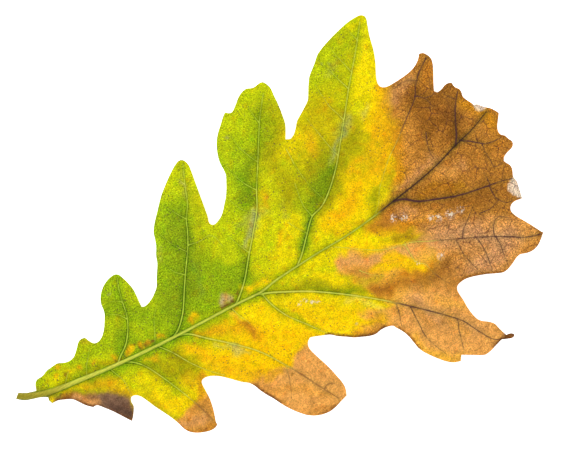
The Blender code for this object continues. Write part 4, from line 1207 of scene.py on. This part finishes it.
def dark_points(w, colour):
    """Dark points: some of a scatter of cells hold one, each of its own size."""
    scatter = w.add("ShaderNodeTexVoronoi", {"Vector": w.place, "Scale": 1.15}, voronoi_dimensions="2D")
    chance = w.add("ShaderNodeSeparateColor", {"Color": scatter.outputs["Color"]})
    wanted = w.ramp(chance.outputs["Red"], 0.62, 0.70, 0.0, 1.0)
    size = w.ramp(chance.outputs["Green"], 0.0, 1.0, 0.10, 0.26, False)
    mark = w.ramp(w.maths("DIVIDE", scatter.outputs["Distance"], size), 0.5, 1.0, 0.8, 0.0)
    some = w.ramp(w.noise(w.place, 0.16, 2.0), 0.42, 0.58, 0.15, 1.0)
    shown = w.product(mark, wanted, some, w.ramp(w.dead, 0.0, 0.6, 1.0, 0.4))
    return w.mixed(shown, colour, (0.11, 0.055, 0.03, 1.0))


def small_veins(w, colour):
    """The net of small veins: dark on the dead tissue, and barely seen on the living."""
    line = w.ramp(w.read("net_gap"), 0.03, 0.20, 1.0, 0.0)
    broken = w.ramp(w.noise(w.place, 0.3, 2.0), 0.38, 0.62, 0.12, 1.0)
    depth = w.total(w.ramp(w.dead, 0.0, 1.0, 0.10, 0.20, False), w.product(w.netted, 0.60))
    vein = w.mixed(0.5, w.dyed(colour, 0.45, 0.4, 0.4), w.tint)
    return w.mixed(w.product(line, broken, depth), colour, vein)


def side_veins(w, colour):
    """A pale core with painted dark green shade along both sides where the leaf lives, and dark all over,
    with fainter painted shade, where it is dead.
    """
    gap, rank = w.read("side_gap"), w.read("rank")
    # painted shade: the blade darkened along both sides of the vein
    groove_shade = w.product(w.ramp(gap, 0.03, 0.38, 1.0, 0.0), w.ramp(rank, 0.2, 1.0, 0.22, 1.0))
    groove_shade = w.product(groove_shade, w.ramp(w.green, 0.0, 1.0, 0.50, 1.0, False))
    groove_shade = w.product(groove_shade, w.ramp(w.dead, 0.0, 1.0, 1.0, 0.55, False))
    colour = w.mixed(groove_shade, colour, w.dyed(colour, 0.20, 0.32, 0.50))
    reach = w.maths("SUBTRACT", gap, w.product(w.dead, rank, 0.07))
    core = w.product(w.ramp(reach, -0.05, 0.07, 1.0, 0.0), w.ramp(rank, 0.3, 1.0, 0.80, 0.90, False))
    faint = w.ramp(w.noise(w.place, 0.35, 2.0), 0.36, 0.52, 0.55, 1.0)
    holds = w.maths("MAXIMUM", faint, w.ramp(rank, 0.6, 1.0, 0.0, 1.0))
    return w.mixed(w.product(core, holds), colour, w.tint)


def midrib_skin(w, colour):
    """The midrib: streaked lengthways and darker down its flanks, between bands of painted shade."""
    gap = w.read("midrib_gap")
    # painted shade: the blade darkened along both sides of the midrib
    groove_shade = w.product(w.ramp(gap, 0.0, 0.42, 0.70, 0.0), w.ramp(w.dead, 0.0, 1.0, 1.0, 0.4, False))
    colour = w.mixed(groove_shade, colour, w.dyed(colour, 0.40, 0.52, 0.5))
    skin = w.mixed(w.ramp(gap, -0.30, 0.0, 0.0, 0.8), w.tint, w.dyed(w.tint, 0.42, 0.60, 0.4))
    drawn_out = w.add("ShaderNodeVectorMath", {0: w.place, 1: (0.35, 3.4, 1.0)}, operation="MULTIPLY")
    streaks = w.ramp(w.noise(drawn_out.outputs[0], 1.3, 3.0, 0.7), 0.32, 0.68, 0.72, 1.22, False)
    reach = w.maths("SUBTRACT", gap, w.ramp(w.dead, 0.3, 1.0, 0.0, 0.02, False))
    return w.mixed(w.ramp(reach, -0.06, 0.05, 0.92, 0.0), colour, w.times(skin, streaks))


def painted_glints(w, colour):
    """Painted highlights: pale flecks where the skin is wet and shiny."""
    glint = w.ramp(w.noise(w.place, 1.2, 1.0, 0.4, 1.2), 0.55, 0.58, 0.0, 0.85)
    return w.mixed(w.product(w.wet, glint), colour, (0.96, 0.80, 0.56, 1.0))


def paler_below(w, colour):
    """The lower skin: paler than the upper one."""
    pale = w.mixed(0.45, colour, (0.42, 0.40, 0.16, 1.0))
    return w.mixed(w.product(w.dead, 0.6), pale, (0.36, 0.20, 0.08, 1.0))


def leaf_material(name, underside):
    """The leaf's skin: its painted stains under fine mottling, its veins, and its waxy or dry surface."""
    material = bpy.data.materials.new(name)
    material.use_nodes = True
    w = Skin(material.node_tree)
    skin = material.node_tree.nodes["Principled BSDF"].inputs
    colour = w.read("tissue", "Color")
    for layer in (drifting, gritty, fine_net, dark_points, small_veins, side_veins, midrib_skin):
        colour = layer(w, colour)
    # the upper skin gets painted highlight flecks where it is wet
    w.feed(skin["Base Color"], paler_below(w, colour) if underside else painted_glints(w, colour))
    dull = w.ramp(w.dead, 0.0, 1.0, 0.50, 0.62, False)
    w.feed(skin["Roughness"], w.total(dull, w.ramp(w.grit, 0.3, 0.7, -0.06, 0.08, False)))
    skin["Specular IOR Level"].default_value = 0.04
    relief = w.total(w.product(w.ramp(w.cells, 0.0, 0.30, 0.0, 1.0), 0.8), w.product(w.grit, 1.4))
    if not underside:
        blister = w.noise(w.place, 0.85, 2.0)
        coat = w.product(w.wet, w.ramp(blister, 0.40, 0.50, 0.0, 1.0))
        w.feed(skin["Coat Weight"], coat)
        skin["Coat Roughness"].default_value = 0.16
        skin["Coat IOR"].default_value = 2.0
        relief = w.total(relief, w.product(coat, w.ramp(blister, 0.40, 0.75, 0.0, 3.2)))
    bump = w.add("ShaderNodeBump", {"Height": relief, "Strength": 0.9, "Distance": 0.00018}).outputs[0]
    w.feed(skin["Normal"], bump)
    if not underside:
        w.feed(skin["Coat Normal"], bump)
    return material


# ---- the stage

def floor():
    """A wide pale floor, very slightly uneven in tone, just below the leaf."""
    reach, level = 1.6, -0.0001
    corners = [(-reach, -reach, level), (reach, -reach, level), (reach, reach, level), (-reach, reach, level)]
    mesh = bpy.data.meshes.new("floor")
    mesh.from_pydata(corners, [], [(0, 1, 2, 3)])
    material = bpy.data.materials.new("pale_floor")
    material.use_nodes = True
    w = Wiring(material.node_tree)
    shader = material.node_tree.nodes["Principled BSDF"].inputs
    where = w.add("ShaderNodeTexCoord").outputs["Object"]
    tone = w.ramp(w.noise(where, 14.0), 0.3, 0.7, 0.93, 0.96, False)
    grey = w.add("ShaderNodeCombineColor", {"Red": tone, "Green": tone, "Blue": tone}).outputs[0]
    w.feed(shader["Base Color"], grey)
    shader["Roughness"].default_value = 0.9
    shader["Specular IOR Level"].default_value = 0.1
    shader["Emission Color"].default_value = (1.0, 1.0, 1.0, 1.0)
    shader["Emission Strength"].default_value = 0.9
    mesh.materials.append(material)
    sheet = bpy.data.objects.new("floor", mesh)
    bpy.context.scene.collection.objects.link(sheet)


def sun(name, power, spread, azimuth, height):
    """A lamp like the sun, shining from an azimuth and a height in degrees."""
    lamp = bpy.data.lights.new(name, "SUN")
    lamp.energy = power
    lamp.angle = math.radians(spread)
    holder = bpy.data.objects.new(name, lamp)
    a, e = math.radians(azimuth), math.radians(height)
    towards = Vector((math.cos(a) * math.cos(e), math.sin(a) * math.cos(e), math.sin(e)))
    holder.rotation_mode = "QUATERNION"
    holder.rotation_quaternion = towards.to_track_quat("Z", "Y")
    bpy.context.scene.collection.objects.link(holder)


def sky():
    """A white sky that is bright low down and dim overhead."""
    world = bpy.data.worlds.new("studio")
    bpy.context.scene.world = world
    world.use_nodes = True
    w = Wiring(world.node_tree)
    where = w.add("ShaderNodeTexCoord").outputs["Generated"]
    height = w.add("ShaderNodeSeparateXYZ", {0: where}).outputs["Z"]
    background = world.node_tree.nodes["Background"].inputs
    background["Color"].default_value = (1.0, 1.0, 1.0, 1.0)
    w.feed(background["Strength"], w.ramp(height, 0.35, 0.95, 1.25, 0.12))


def camera():
    """Straight above the leaf, turned so that the apex points to the upper right of the picture."""
    view_centre = np.array([75.04, 1.62])
    view_width, lens, sensor, turn = 0.1338, 250.0, 36.0, -31.5
    data = bpy.data.cameras.new("camera")
    data.lens, data.sensor_width = lens, sensor
    data.clip_start, data.clip_end = 0.01, 20.0
    holder = bpy.data.objects.new("camera", data)
    x, y = (view_centre - LEAF_LOW) * MM + (NODE_LOW.x, NODE_LOW.y)
    mid_height = NODE_HIGH.z / 2
    holder.location = (x, y, mid_height + view_width * lens / sensor)
    holder.rotation_euler = (0.0, 0.0, math.radians(turn))
    bpy.context.scene.collection.objects.link(holder)
    bpy.context.scene.camera = holder


leaf = build_leaf()
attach(leaf, "root")
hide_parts(NODE)
floor()
sun("key", power=1.92, spread=26, azimuth=100, height=52)
sun("fill", power=0.5, spread=60, azimuth=250, height=40)
sky()
camera()
bpy.context.scene.view_settings.view_transform = "Standard"
